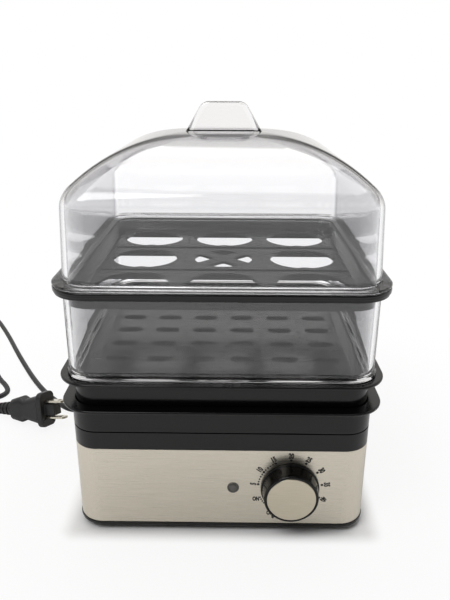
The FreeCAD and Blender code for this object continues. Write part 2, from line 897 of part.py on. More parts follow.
def make_lamp():
    inside = -body_half + band_thick
    lens = rod(lens_radius, -body_half - lens_proud, inside + lens_deep, lamp_x, lamp_z)
    rim = [e for e in lens.Edges if e.BoundBox.YMax < -body_half]
    lens = lens.makeFillet(lens_edge, rim)
    save("lamp_lens", lens)
    holder = rod(lens_radius + lens_gap + holder_wall, inside, inside + holder_deep, lamp_x, lamp_z).cut(
        rod(lens_radius + lens_gap, inside - cut_overrun, inside + holder_deep + cut_overrun, lamp_x, lamp_z))
    save("lamp_holder", holder)
    neon = rod(neon_radius, inside + lens_deep, inside + lens_deep + neon_long, lamp_x, lamp_z)
    save("neon_lamp", neon)


def make_entry():
    """Bush, inner lead, clamp bridge and terminal block of the mains entry."""
    inside = body_half - band_thick
    flange = rod(bush_flange_radius, body_half, body_half + bush_flange_thick, cord_x, cord_z)
    neck = rod(bush_neck_radius, inside, body_half, cord_x, cord_z)
    barb = rod(bush_barb_radius, inside - bush_barb_thick, inside, cord_x, cord_z)
    tail_start = body_half + bush_flange_thick
    tail_long = bush_tail - bush_flange_thick
    tail = Part.makeCone(bush_tail_start, bush_tail_end, tail_long, V(cord_x, tail_start, cord_z), BACK)
    rings = []
    for n in range(bush_rib_count):
        share = (n + 0.5) / bush_rib_count
        radius = bush_tail_start + (bush_tail_end - bush_tail_start) * share + bush_rib_proud
        middle = tail_start + tail_long * share
        rings.append(rod(radius, middle - bush_rib_thick / 2, middle + bush_rib_thick / 2, cord_x, cord_z))
    bush = fused(flange, neck, barb, tail, *rings)
    bore = rod(cord_radius + bush_bore_gap, inside - bush_barb_thick - cut_overrun, bush_end + cut_overrun,
               cord_x, cord_z)
    save("cord_bush", bush.cut(bore))

    block_back = block_front + block_deep
    save("inner_lead", rod(cord_radius, block_back, bush_end, cord_x, cord_z))

    block = box(around(cord_x, block_long / 2), (block_front, block_back), (band_low, band_low + block_high))
    top = [e for e in block.Edges if e.BoundBox.ZMin > band_low + block_edge]
    block = block.makeFillet(block_edge, top)
    block_top = band_low + block_high
    holes = [disc(block_hole_radius, block_top - block_hole_deep, block_top + cut_overrun,
                  cord_x + n * block_hole_apart, (block_front + block_back) / 2) for n in (-1, 0, 1)]
    save("terminal_block", block.cut(holes))

    seat = cord_z - cord_radius
    bridge = box(around(cord_x, saddle_width / 2), around(saddle_y, saddle_deep / 2),
                 (seat, seat + bridge_high))
    channel = rod(cord_radius + bush_bore_gap, saddle_y - saddle_deep, saddle_y + saddle_deep, cord_x, cord_z)
    mouth = box(around(cord_x, cord_radius + bush_bore_gap), around(saddle_y, saddle_deep),
                (seat - cut_overrun, cord_z))
    holes = [disc(clamp_screw_radius + screw_gap, seat - cut_overrun, seat + bridge_high + cut_overrun,
                  x, saddle_y) for x in (cord_x - clamp_screw_apart, cord_x + clamp_screw_apart)]
    save("clamp_bridge", bridge.cut([channel, mouth] + holes))
    save("clamp_screws", *[screw(clamp_screw_radius, bridge_high + clamp_screw_reach, clamp_head_radius,
                                 clamp_head_high, V(x, saddle_y, seat + bridge_high), -UP)
                           for x in (cord_x - clamp_screw_apart, cord_x + clamp_screw_apart)])


def wire_route(start, start_way, shares, end, end_way):
    """A route that leaves start and reaches end squarely, through places given as shares of the room."""
    places = [V(x * body_half, y * body_half, z * deck_high) for x, y, z in shares]
    return [start, start + start_way * wire_start] + places + [end + end_way * wire_start, end]


def make_wires():
    """Insulated wires inside the base, each along a route chosen by hand between its two ends."""
    timer_back = -body_half + band_thick + timer_plate_thick + timer_case_deep + timer_tab_long
    tab_z = knob_z - timer_tab_drop
    tabs = [(V(knob_x + n * timer_tab_apart, timer_back, tab_z), BACK) for n in (-1, 0, 1)]
    ports = [(V(cord_x + n * block_hole_apart, block_front, cord_z), -BACK) for n in (-1, 0, 1)]
    stat_y = -stat_radius - stat_tab_long
    stat_z = boss_low - stat_high + stat_tab_low + stat_tab_thick / 2
    stat = [(V(x, stat_y, stat_z), -BACK) for x in (-stat_tab_apart / 2, stat_tab_apart / 2)]
    pin_z = boss_low - 2 * element_radius - element_gap - element_pin_long
    pins = [(V(*element_end(side), pin_z), -UP) for side in (-1, 1)]
    fuse_z = boss_low - fuse_radius - fuse_gap
    fuse_x = fuse_long / 2 + fuse_lead_long
    fuse = [(V(side * fuse_x, fuse_y, fuse_z), RIGHT * side) for side in (-1, 1)]
    lamp_back = -body_half + band_thick + lens_deep + neon_long
    lamp = [(V(lamp_x + side * neon_lead_apart / 2, lamp_back, lamp_z), BACK) for side in (-1, 1)]
    live_shares = [(-0.62, 0.28, 0.19), (-0.57, -0.09, 0.14), (-0.34, -0.38, 0.14), (-0.02, -0.49, 0.15),
                   (0.2, -0.52, 0.19)]
    switched_shares = [(0.4, -0.5, 0.27), (0.24, -0.42, 0.3), (0.09, -0.34, 0.37)]
    to_element_shares = [(-0.05, -0.31, 0.42), (-0.1, -0.35, 0.28), (-0.17, -0.37, 0.17)]
    from_element_shares = [(0.25, -0.33, 0.15), (0.31, -0.14, 0.16), (0.35, 0.06, 0.32)]
    neutral_shares = [(-0.27, 0.22, 0.45), (-0.35, 0.26, 0.34)]
    lamp_neutral_shares = [(0.03, -0.66, 0.4), (-0.03, -0.48, 0.27), (-0.23, -0.22, 0.24),
                           (-0.37, 0.07, 0.21)]
    lamp_live_shares = [(0.16, -0.66, 0.49), (0.31, -0.61, 0.45), (0.47, -0.58, 0.4), (0.58, -0.57, 0.3)]
    mains = [(ports[0], live_shares, tabs[0]), (tabs[1], switched_shares, stat[1]),
             (stat[0], to_element_shares, pins[0]), (pins[1], from_element_shares, fuse[1]),
             (fuse[0], neutral_shares, ports[1])]
    thin = [(lamp[0], lamp_neutral_shares, ports[2]), (lamp[1], lamp_live_shares, tabs[2])]
    wires = []
    for radius, routes in ((wire_radius, mains), (lamp_wire_radius, thin)):
        for start, shares, end in routes:
            wires.append(tube(rounded_path(wire_route(*start, shares, *end))[0], radius))
    save("inner_wires", *wires)


def make_bowl():
    wall = frame(body_half, body_corner, bowl_wall, bowl_low, bowl_high)
    floor = square(body_half - bowl_wall / 2, body_corner - bowl_wall / 2, bowl_low, bowl_floor)
    rim = square(flange_half, flange_corner, bowl_high - rim_thick, bowl_high).cut(
        square(body_half - bowl_wall, body_corner - bowl_wall, bowl_low, bowl_high + cut_overrun))
    lip_half = body_half - collar_wall - tier_gap
    lip = frame(lip_half, body_corner - collar_wall - tier_gap, bowl_lip_wall,
                max(deck_high + tier_gap, collar_high - bowl_lip_height), bowl_low)
    tower_top = bowl_floor + tower_high
    tower = disc(tower_radius, bowl_low, tower_top)
    bowl = fused(wall, floor, rim, lip, tower)
    cuts = [disc(tower_radius - tower_wall, bowl_low - cut_overrun, tower_top - tower_wall)]
    for n in range(tower_slot_count):
        slot = slab((tower_slot_out - tower_slot_in) / 2, tower_slot_width / 2,
                    tower_slot_width / 2 * full_round_share, tower_top - tower_wall - cut_overrun,
                    tower_top + cut_overrun)
        slot.translate(V((tower_slot_out + tower_slot_in) / 2, 0, 0))
        slot.rotate(V(0, 0, 0), UP, n * 360 / tower_slot_count)
        cuts.append(slot)
    save("lower_bowl", bowl.cut(cuts))


def make_steam_tray():
    half = body_half - bowl_wall - tray_nest_gap
    corner = body_corner - bowl_wall - tray_nest_gap
    wall = frame(half, corner, tray_wall, tray_low, tray_high)
    rim = square(flange_half, flange_corner, tray_high - rim_thick, tray_high)
    ledge = tray_high - tray_step
    shell, hollow = dish(tray_floor, ledge, tray_floor_thick)
    ledge_plate = square(half, corner, ledge - rim_thick, tray_high)
    tray = fused(wall, rim, shell, ledge_plate)
    cuts = hollow + [square(tray_step_half, corner, ledge, tray_high + cut_overrun)]
    tray = tray.cut(cuts)
    column = floor_half * 2 / slot_columns
    row = floor_half * 2 / slot_rows
    lines = [(n - slot_columns / 2) * column for n in range(1, slot_columns)]
    tray = fused(tray, *ribs(lines, [], floor_half, rib_width, tray_floor - rib_high, tray_floor + rib_high))
    slots = []
    for i in range(slot_columns):
        for j in range(slot_rows):
            slot = slab(slot_long / 2, slot_wide / 2, slot_wide / 2 * full_round_share,
                        tray_floor - tray_floor_thick - cut_overrun, tray_floor + cut_overrun)
            slot.translate(V((i - (slot_columns - 1) / 2) * column, (j - (slot_rows - 1) / 2) * row, 0))
            slots.append(slot)
    save("steam_tray", tray.cut(slots))


def make_ring():
    wall = frame(body_half, body_corner, ring_wall, ring_low, ring_high)
    bead = square(body_half + ring_bead, body_corner + ring_bead, ring_low, ring_low + ring_bead_high).cut(
        square(body_half - ring_wall, body_corner - ring_wall, ring_low - cut_overrun, ring_high))
    half = tray_step_half - ring_lip_gap
    lip = frame(half, body_corner - bowl_wall - tray_nest_gap - ring_lip_gap, ring_lip_wall,
                ring_low - ring_lip_deep, ring_low + ring_bead_high)
    ledge = frame(body_half - ring_wall / 2, body_corner - ring_wall / 2, body_half - ring_wall / 2 - half
                  + ring_lip_wall, ring_low, ring_low + ring_bead_high)
    save("tier_ring", fused(wall, bead, lip, ledge))


def make_egg_tray():
    lower_high = egg_low + egg_rim_lower
    lower = square(flange_half - egg_rim_inset, flange_corner - egg_rim_inset, egg_low, lower_high)
    upper = square(flange_half, flange_corner, lower_high, egg_high)
    half = body_half - ring_wall - egg_skirt_gap
    corner = body_corner - ring_wall - egg_skirt_gap
    skirt = frame(half, corner, egg_skirt_wall, egg_low - egg_skirt, egg_low)
    ledge = egg_high - egg_step
    shell, hollow = dish(egg_floor, ledge, egg_floor_thick)
    middle = square(dish_half - egg_skirt_wall, dish_corner, egg_low - cut_overrun, ledge)
    rims = lower.fuse(upper).cut(middle)
    tray = fused(rims, skirt, shell)
    tray = tray.cut(hollow + [square(tray_step_half, corner, ledge, egg_high + cut_overrun)])
    lines = [(n - cells_across / 2) * cell_pitch for n in range(1, cells_across)]
    tray = fused(tray, *ribs(lines, lines, floor_half, egg_rib_width, egg_floor - egg_rib_high,
                             egg_floor + egg_rib_high))
    cuts = []
    for i in range(cells_across):
        for j in range(cells_across):
            place = V((i - (cells_across - 1) / 2) * cell_pitch, (j - (cells_across - 1) / 2) * cell_pitch,
                      egg_floor)
            middle = place.Length == egg_floor
            for cutter in cross_holes() if middle else [egg_hole()]:
                cutter.translate(place)
                cuts.append(cutter)
    save("egg_tray", tray.cut(cuts))


def lid_profile(inset):
    """Half widths and heights up the lid's outside, moved inwards by inset along the surface's normal."""
    slope = math.radians(crown_slope)
    points = [(lid_half_low, lid_low, 0), (lid_half_high, lid_wall_high, 0)]
    for n in range(1, shoulder_steps + 1):
        angle = (math.pi / 2 - slope) * n / shoulder_steps
        points.append((lid_half_high - shoulder_radius * (1 - math.cos(angle)),
                       lid_wall_high + shoulder_radius * math.sin(angle), angle))
    half, height, _ = points[-1]
    bend_half = half - (crown_high - height) / math.tan(slope)
    for n in range(1, crown_steps + 1):
        t = n / crown_steps
        along_half = (1 - t) * (bend_half - half) + t * (crown_half - bend_half)
        along_high = (1 - t) * (crown_high - height)
        points.append(((1 - t) ** 2 * half + 2 * t * (1 - t) * bend_half + t * t * crown_half,
                       (1 - t) ** 2 * height + (1 - (1 - t) ** 2) * crown_high,
                       math.pi / 2 - math.atan2(along_high, -along_half)))
    return [(half - inset * math.cos(angle), height - inset * math.sin(angle))
            for half, height, angle in points]


def lid_solid(inset):
    points = lid_profile(inset)
    corner = lid_corner - inset
    wall = taper(points[0][0], corner, lid_low, points[1][0], corner, points[1][1])
    crown = Part.makeLoft([outline(half, half, corner, height) for half, height in points[1:]], True, False)
    return wall.fuse(crown)


def handle_block(inset):
    """The grip on top, a trapezium with round top corners, moved inwards by inset."""
    low = crown_high - handle_root - inset
    high = crown_high + handle_high - inset
    base = handle_base_half - inset
    top = handle_top_half - inset
    depth = handle_thick / 2 - inset
    points = [V(-base, -depth, low), V(base, -depth, low), V(top, -depth, high), V(-top, -depth, high),
              V(-base, -depth, low)]
    block = Part.Face(Part.makePolygon(points)).extrude(BACK * (2 * depth))
    top_edges = [e for e in block.Edges if e.BoundBox.ZMin > high - handle_edge
                 and abs(e.tangentAt(e.FirstParameter).dot(BACK)) > 0.99]
    block = block.makeFillet(handle_round - inset, top_edges)
    if inset == 0:
        rims = [e for e in block.Edges if e.BoundBox.ZMax > low + handle_edge
                and abs(e.tangentAt(e.FirstParameter).dot(BACK)) < 0.5]
        block = block.makeFillet(handle_edge, rims)
    return block


def make_lid():
    rim = square(flange_half, flange_corner, lid_low, lid_low + lid_rim_thick)
    lip_half = tray_step_half - lid_lip_gap
    lip_corner = body_corner - ring_wall - egg_skirt_gap - lid_lip_gap
    lip = square(lip_half, lip_corner, lid_low - lid_lip_deep, lid_low)
    outer = fused(lid_solid(0), rim, lip, handle_block(0))
    inner = lid_solid(lid_wall)
    mouth = square(lip_half - lid_lip_wall, lip_corner - lid_lip_wall, lid_low - lid_lip_deep - cut_overrun,
                   lid_low + lid_wall)
    slot = slab(steam_slot_wide / 2, steam_slot_long / 2, steam_slot_wide / 2 * full_round_share,
                lid_wall_high, crown_high)
    slot.translate(V(steam_slot_x, steam_slot_y, 0))
    save("lid", outer.cut([inner, mouth, handle_block(handle_wall), slot]))


def plug_frame():
    """Placement that puts the plug's cord end on the cord's last point."""
    turn = (FreeCAD.Rotation(UP, plug_azimuth) * FreeCAD.Rotation(BACK, -plug_elevation)
            * FreeCAD.Rotation(RIGHT, plug_roll))
    return FreeCAD.Placement(plug_end + turn.multVec(RIGHT) * plug_long, turn)


def plug_section(half_wide, half_thick, corner, at):
    """A round-cornered section of the plug across its length, at a distance behind its face."""
    wire = outline(half_thick, half_wide, corner, 0)
    wire.Placement = FreeCAD.Placement(V(-at, 0, 0), FreeCAD.Rotation(BACK, UP, RIGHT, "ZXY"))
    return wire


def make_plug():
    face = (plug_half_wide, plug_half_thick, plug_corner)
    neck = (plug_neck_half_wide, plug_neck_half_thick, plug_corner)
    waist = (plug_waist_half_wide, plug_waist_half_thick, plug_corner)
    grip = (plug_grip_half_wide, plug_grip_half_thick, plug_corner)
    stretches = [(face, 0, face, plug_flange), (neck, plug_flange, waist, plug_waist_at),
                 (waist, plug_waist_at, grip, plug_grip_at), (grip, plug_grip_at, waist, plug_body_long)]
    lofts = [Part.makeLoft([plug_section(*first, first_at), plug_section(*last, last_at)], True, True)
             for first, first_at, last, last_at in stretches]
    boss = box((0, plug_boss_long), (-plug_boss_half, plug_boss_half), (-plug_boss_half, plug_boss_half))
    pockets = [box((-blade_root, 0), around(0, blade_wide / 2),
                   around(side * blade_apart / 2, blade_thick / 2)) for side in (-1, 1)]
    body = fused(*lofts, boss).cut(pockets)

    blades = []
    for side in (-1, 1):
        blade = box((-blade_root, blade_long), around(0, blade_wide / 2),
                    around(side * blade_apart / 2, blade_thick / 2))
        tips = [e for e in blade.Edges if e.BoundBox.XMin > blade_long - blade_tip
                and abs(e.tangentAt(e.FirstParameter).dot(UP)) > 0.99]
        blade = blade.makeChamfer(blade_tip, tips)
        hole = disc(blade_hole_radius, -blade_apart, blade_apart, blade_long - blade_hole_in)
        blades.append(blade.cut(hole))

    relief_long = plug_long - plug_body_long
    core = Part.makeCone(relief_end, relief_start, relief_long, V(-plug_long, 0, 0), RIGHT)
    rings = []
    for n in range(relief_ribs):
        share = (n + 0.5) / relief_ribs
        radius = relief_end + (relief_start - relief_end) * share + relief_rib_proud
        at = -plug_long + relief_long * share
        rings.append(Part.makeCylinder(radius, relief_rib_thick, V(at - relief_rib_thick / 2, 0, 0), RIGHT))
    relief = fused(core, *rings)

    for name, shapes in (("plug_body", [body]), ("plug_blades", blades), ("plug_relief", [relief])):
        for shape in shapes:
            shape.Placement = plug_frame() * shape.Placement
            print(name, "lowest", round(shape.BoundBox.ZMin, 2))
        save(name, *shapes)


def coil_point(turns):
    """Place and direction on the coil, which is wound as a stack, after this many turns."""
    angle = math.radians(coil_first_angle) + 2 * math.pi * turns
    outward = V(math.cos(angle), math.sin(angle), 0)
    way = V(-math.sin(angle), math.cos(angle), 0) * (2 * math.pi * coil_radius) + UP * coil_pitch
    place = coil_centre + outward * coil_radius + UP * (coil_low + coil_pitch * turns)
    return place, way.normalize()


def make_cord():
    steps = round(coil_turns * 4)
    stops = [coil_point(coil_turns * n / steps) for n in range(steps + 1)]
    cord_in, in_way = stops[0]
    cord_out, out_way = stops[-1]
    coil_start = cord_in - in_way * coil_lead
    coil_end = cord_out + out_way * coil_lead
    edges = [Part.LineSegment(coil_start, cord_in).toShape()]
    for (start, start_way), (end, end_way) in zip(stops, stops[1:]):
        edges += biarc(start, start_way, end, end_way)
    edges.append(Part.LineSegment(cord_out, coil_end).toShape())
    path = Part.Wire(edges)
    coil = tube(path, cord_radius)
    print("cord_coil length", round(path.Length, 1), "volume over section by length",
          round(coil.Volume / (math.pi * cord_radius ** 2 * path.Length), 4))
    print("cord_coil least gap to itself", round(least_gap(path), 2))
    save("cord_coil", coil)

    lie = cord_lie
    out = [cord_exit, cord_exit + BACK * bush_run, V(-49.5, 141, 10.5), V(-60, 150.5, 5), V(-75, 152, lie),
           V(-90, 145.5, lie), V(-100.5, 133, lie), V(-105, 117, lie), V(-105.3, 98, lie), V(-103.3, 78, lie),
           V(-104, 60.3, lie), V(-109.7, 51.8, lie), V(-119.3, 47.8, lie), V(-129.4, 49.8, lie),
           V(-143.5, 63.5, lie), V(-157, 78.5, lie), V(-172, 99.5, lie), V(-188.5, 126, lie),
           V(-207.5, 158, lie), V(-227.5, 193.5, lie), V(-246.5, 224.5, lie), V(-258.1, 242, lie),
           V(-268.7, 246, lie), V(-279.6, 242.9, lie), V(-286.4, 233.8, lie), V(-287, 216, lie),
           V(-285.3, 195, lie), coil_start - in_way * coil_run, coil_start]
    save("power_cord", routed("power_cord", out, cord_radius))

    axis = plug_frame().Rotation.multVec(RIGHT)
    back = [coil_end, coil_end + out_way * coil_run, V(-231, 130.5, 11.2), V(-219.5, 122, 6.3),
            V(-210.5, 110.5, 2.9), V(-202.5, 98.5, lie), V(-194.1, 88.8, lie), V(-188.6, 79.3, lie),
            V(-188.95, 73.05, lie), V(-192.7, 68, lie), V(-198.8, 65.7, lie), V(-202.6, 60.2, lie),
            V(-202.6, 53.5, 2.5), plug_end - axis * plug_run, plug_end]
    save("cord_tail", routed("cord_tail", back, cord_radius))

    angle = coil_first_angle + 360 * tie_turn
    low = coil_point(tie_turn)[0].z - cord_radius - tie_gap
    high = coil_point(tie_turn + math.floor(coil_turns))[0].z + cord_radius + tie_gap
    half = cord_radius + tie_gap
    outer = box(around(coil_radius, half + tie_thick), around(0, tie_width / 2),
                (low - tie_thick, high + tie_thick))
    inner = box(around(coil_radius, half), around(0, tie_width), (low, high))
    tie = outer.cut(inner)
    tie.rotate(V(0, 0, 0), UP, angle)
    tie.translate(coil_centre)
    print("cord_tie lowest", round(tie.BoundBox.ZMin, 2))
    save("cord_tie", tie)


def least_gap(path):
    """Least gap between stretches of a wound tube that are over half a turn apart along it."""
    points = path.discretize(gap_samples)
    step = path.Length / (gap_samples - 1)
    skip = int(math.pi * coil_radius / step)
    least = path.Length
    for i, point in enumerate(points):
        for other in points[i + skip:]:
            least = min(least, point.distanceToPoint(other))
    return least - cord_diameter


make_pan()
make_feet()
make_base_screws()
make_band()
make_housing()
make_heater()
make_element()
make_thermostat()
make_fuse()
make_timer()
make_knob()
make_lamp()
make_entry()
make_wires()
make_bowl()
make_steam_tray()
make_ring()
make_egg_tray()
make_lid()
make_plug()
make_cord()
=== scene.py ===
from math import asin, cos, hypot, pi, radians, sin, sqrt, tan

import bmesh
import bpy
from bpy.props import FloatProperty, FloatVectorProperty, IntProperty, PointerProperty
from mathutils import Matrix, Vector


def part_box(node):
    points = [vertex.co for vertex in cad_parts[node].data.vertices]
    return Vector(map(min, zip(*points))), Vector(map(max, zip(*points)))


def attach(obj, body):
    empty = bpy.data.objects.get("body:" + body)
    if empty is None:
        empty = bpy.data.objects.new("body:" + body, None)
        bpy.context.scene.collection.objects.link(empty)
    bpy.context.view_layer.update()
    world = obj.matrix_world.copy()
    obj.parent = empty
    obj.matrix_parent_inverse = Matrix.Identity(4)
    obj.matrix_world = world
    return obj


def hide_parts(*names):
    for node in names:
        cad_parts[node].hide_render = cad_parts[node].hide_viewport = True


bl_info = {
    "name": "Two-tier egg boiler",
    "version": (1, 0, 0),
    "blender": (4, 5, 0),
    "location": "View3D > Sidebar > Egg boiler",
    "description": "Models an egg boiler with a steel base, black trays, a clear tier ring and a clear lid",
    "category": "Object",
}

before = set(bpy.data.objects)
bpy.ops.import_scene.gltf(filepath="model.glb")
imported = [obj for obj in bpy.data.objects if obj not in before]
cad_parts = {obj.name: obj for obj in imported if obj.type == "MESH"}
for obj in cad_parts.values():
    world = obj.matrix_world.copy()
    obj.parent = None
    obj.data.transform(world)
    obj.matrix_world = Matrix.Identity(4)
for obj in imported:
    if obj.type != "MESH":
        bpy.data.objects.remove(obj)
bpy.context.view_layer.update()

MM = 0.001


def levels(box):
    """Lowest and highest place of a box."""
    return box[0][2], box[1][2]


def front_centre(box):
    """Middle of a box as seen from the front, as x and z."""
    low, high = box
    return (low[0] + high[0]) / 2, (low[2] + high[2]) / 2


HOUSING_LOW, HOUSING_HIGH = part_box("upper_housing")
BODY_HALF = HOUSING_HIGH[0]
MIDDLE_Y = (HOUSING_LOW[1] + HOUSING_HIGH[1]) / 2
FRONT_Y = HOUSING_LOW[1]
BAND_LOW, BAND_TOP = levels(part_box("steel_band"))
BOWL_LOW, BOWL_TOP = levels(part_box("lower_bowl"))
TRAY_LOW, TRAY_TOP = levels(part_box("steam_tray"))
RING_LOW, RING_TOP = levels(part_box("tier_ring"))
RACK_LOW, RACK_TOP = levels(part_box("egg_tray"))
LID_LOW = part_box("lid")[0][2]
FLANGE_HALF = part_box("lid")[1][0]
KNOB_X, KNOB_Z = front_centre(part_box("knob_face"))
LENS_LOW, LENS_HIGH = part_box("lamp_lens")
LAMP_X, LAMP_Z = front_centre((LENS_LOW, LENS_HIGH))

# Plan of the stack, in millimetres inside the outer face of the base: less than none is outside it.
FLANGE = (BODY_HALF - FLANGE_HALF) / MM
STEP = 3.0           # inner edge of a tray's top rim
DISH = STEP + 2.1    # where the slope down to the floor starts
FLOOR = DISH + 4.95  # where the flat floor starts
FLOOR_HALF = BODY_HALF / MM - FLOOR
DISH_EASE = 2.6      # how much rounder the dish's corners are than concentric ones
FLOOR_THICK = 2.0
HEM = 0.05           # keeps faces of joined solids out of one plane


def millimetres(name, description, value):
    """A length that the user can change, given in millimetres."""
    return FloatProperty(name=name, description=description, default=value * MM, unit="LENGTH")


class EggBoilerSizes(bpy.types.PropertyGroup):
    """Sizes of the pieces that are modelled here"""
    corner: millimetres("Corner radius", "Radius of the upright corners of the base", 15.5)
    corner_steps: IntProperty(name="Corner steps", description="Edges in each quarter round", default=12, min=4)
    edge_round: millimetres("Edge round", "Radius on the moulded edges of the trays", 0.45)
    hole_round: millimetres("Hole round", "Radius on the edges of the trays' holes", 0.5)
    lid_wall: millimetres("Lid wall", "Thickness of the clear lid", 2.4)
    ring_wall: millimetres("Tier ring wall", "Thickness of the clear tier ring", 2.6)
    band_wall: millimetres("Steel wrap", "Thickness of the steel round the base", 0.6)
    numeral: millimetres("Numeral height", "Height of the numbers round the knob", 3.3)


def sizes():
    """The sizes that the user can change."""
    return bpy.context.scene.egg_boiler_sizes


def linear(hex_code):
    """An sRGB hex colour as linear RGBA."""
    channels = [int(hex_code[i:i + 2], 16) / 255 for i in (0, 2, 4)]
    return tuple(c / 12.92 if c <= 0.04045 else ((c + 0.055) / 1.055) ** 2.4 for c in channels) + (1.0,)


def colour(name, description, hex_code):
    """A colour that the user can change, given as an sRGB hex value."""
    return FloatVectorProperty(name=name, description=description, subtype="COLOR", size=4, min=0, max=1,
                               default=linear(hex_code))


class EggBoilerColours(bpy.types.PropertyGroup):
    """Colours of the finishes, as linear values"""
    black_abs: colour("Black ABS", "Moulded trays, collar and pan", "0a0a0b")
    gloss_abs: colour("Gloss black ABS", "Knob skirt", "040404")
    clear_san: colour("Clear SAN", "Lid and tier ring", "fbfbfc")
    # Painted shade: the colour the clear plastic turns to where it is seen edge on.
    clear_edge_shade: colour("Painted edge shade of clear SAN", "Rims and corners of the lid and tier ring", "4c4854")
    stainless: colour("Brushed stainless steel", "Wrap of the base", "dbd4c6")
    aluminium: colour("Satin aluminium", "Face of the knob", "d2c9b6")
    ink: colour("Screen-printed ink", "Numbers and dots of the dial", "0c0b0a")
    vinyl: colour("Black vinyl", "Power cord and plug", "202122")


def feed(made, *inputs, **settings):
    """Gives a node its settings and inputs, in order or by name. A node or socket among them is linked."""
    for key in [key for key in settings if hasattr(made, key)]:
        setattr(made, key, settings.pop(key))
    named = [(key.replace("_", " "), value) for key, value in settings.items()]
    for key, value in (*enumerate(inputs), *named):
        if isinstance(value, bpy.types.Node):
            value = value.outputs[0]
        if isinstance(value, bpy.types.NodeSocket):
            made.id_data.links.new(value, made.inputs[key])
        else:
            made.inputs[key].default_value = value
    return made


def node(tree, kind, *inputs, **settings):
    """Adds a shader node with its settings, inputs and links."""
    return feed(tree.nodes.new(kind), *inputs, **settings)


def new_material(name):
    """A new material, its node tree and its principled shader."""
    made = bpy.data.materials.new(name)
    made.use_nodes = True
    return made, made.node_tree, made.node_tree.nodes["Principled BSDF"]


# Millimetres: the soft patches of a moulded face, 18 to the metre, and how deep a grain or a scratch is.
PATCH = 1000 / 18
GRAIN_DEPTH = 0.02
SCRATCH_DEPTH = 0.01


def grained(name, base, roughness, grain, spread, bump, **values):
    """A moulded or cast finish: one colour, roughness that varies by spread, and a grain in millimetres."""
    made, tree, shader = new_material(name)
    feed(shader, Base_Color=base, Roughness=roughness, **values)
    place = node(tree, "ShaderNodeTexCoord").outputs["Object"]
    fine = node(tree, "ShaderNodeTexNoise", Vector=place, Scale=1 / (grain * MM), Detail=3.0)
    broad = node(tree, "ShaderNodeTexNoise", Vector=place, Scale=1 / (PATCH * MM), Detail=2.0)
    level = node(tree, "ShaderNodeMapRange", Value=broad, To_Min=roughness - spread,
                 To_Max=roughness + spread)
    relief = node(tree, "ShaderNodeBump", Height=fine, Strength=bump, Distance=GRAIN_DEPTH * MM)
    feed(shader, Roughness=level, Normal=relief)
    return made


def brushed(name, base, roughness, width, length):
    """A brushed metal: scratches from side to side, in millimetres, which tint and roughen it."""
    made, tree, shader = new_material(name)
    feed(shader, Base_Color=base, Metallic=1.0, Roughness=roughness)
    place = node(tree, "ShaderNodeTexCoord").outputs["Object"]
    stretch = (1 / (length * MM), 1 / (width * MM), 1 / (width * MM))
    fit = node(tree, "ShaderNodeMapping", Vector=place, Scale=stretch)
    scratch = node(tree, "ShaderNodeTexNoise", Vector=fit, Scale=1.0, Detail=3.0)
    level = node(tree, "ShaderNodeMapRange", Value=scratch, To_Min=roughness - 0.06, To_Max=roughness + 0.08)
    tint = node(tree, "ShaderNodeMapRange", Value=scratch, From_Min=0.3, From_Max=0.7, To_Min=0.92, To_Max=1.06)
    shade = node(tree, "ShaderNodeVectorMath", base[:3], operation="SCALE", Scale=tint)
    relief = node(tree, "ShaderNodeBump", Height=scratch, Strength=0.15, Distance=SCRATCH_DEPTH * MM)
    feed(shader, Base_Color=shade, Roughness=level, Normal=relief)
    return made


def clear(name, base, edge, roughness, ior):
    """A clear plastic that lets the lamps through to what is inside, with painted shade where it is seen edge on.
    """
    made, tree, shader = new_material(name)
    # Painted shade: at grazing angles the colour turns towards the edge colour, standing in for dark refractions
    # at the rims.
    slant = node(tree, "ShaderNodeLayerWeight", Blend=0.5)
    rim = node(tree, "ShaderNodeMapRange", Value=slant.outputs["Facing"], From_Min=0.5, From_Max=0.92)
    tint = node(tree, "ShaderNodeMix", data_type="RGBA", Factor=rim, A=base, B=edge)
    feed(shader, Base_Color=tint.outputs["Result"], Roughness=roughness, IOR=ior, Transmission_Weight=1.0,
         Specular_IOR_Level=0.25)
    ray = node(tree, "ShaderNodeLightPath")
    plain = node(tree, "ShaderNodeBsdfTransparent", Color=(0.93, 0.93, 0.93, 1.0))
    mix = node(tree, "ShaderNodeMixShader", ray.outputs["Is Shadow Ray"], shader, plain)
    feed(tree.nodes["Material Output"], Surface=mix)
    return made


MATERIALS = {}


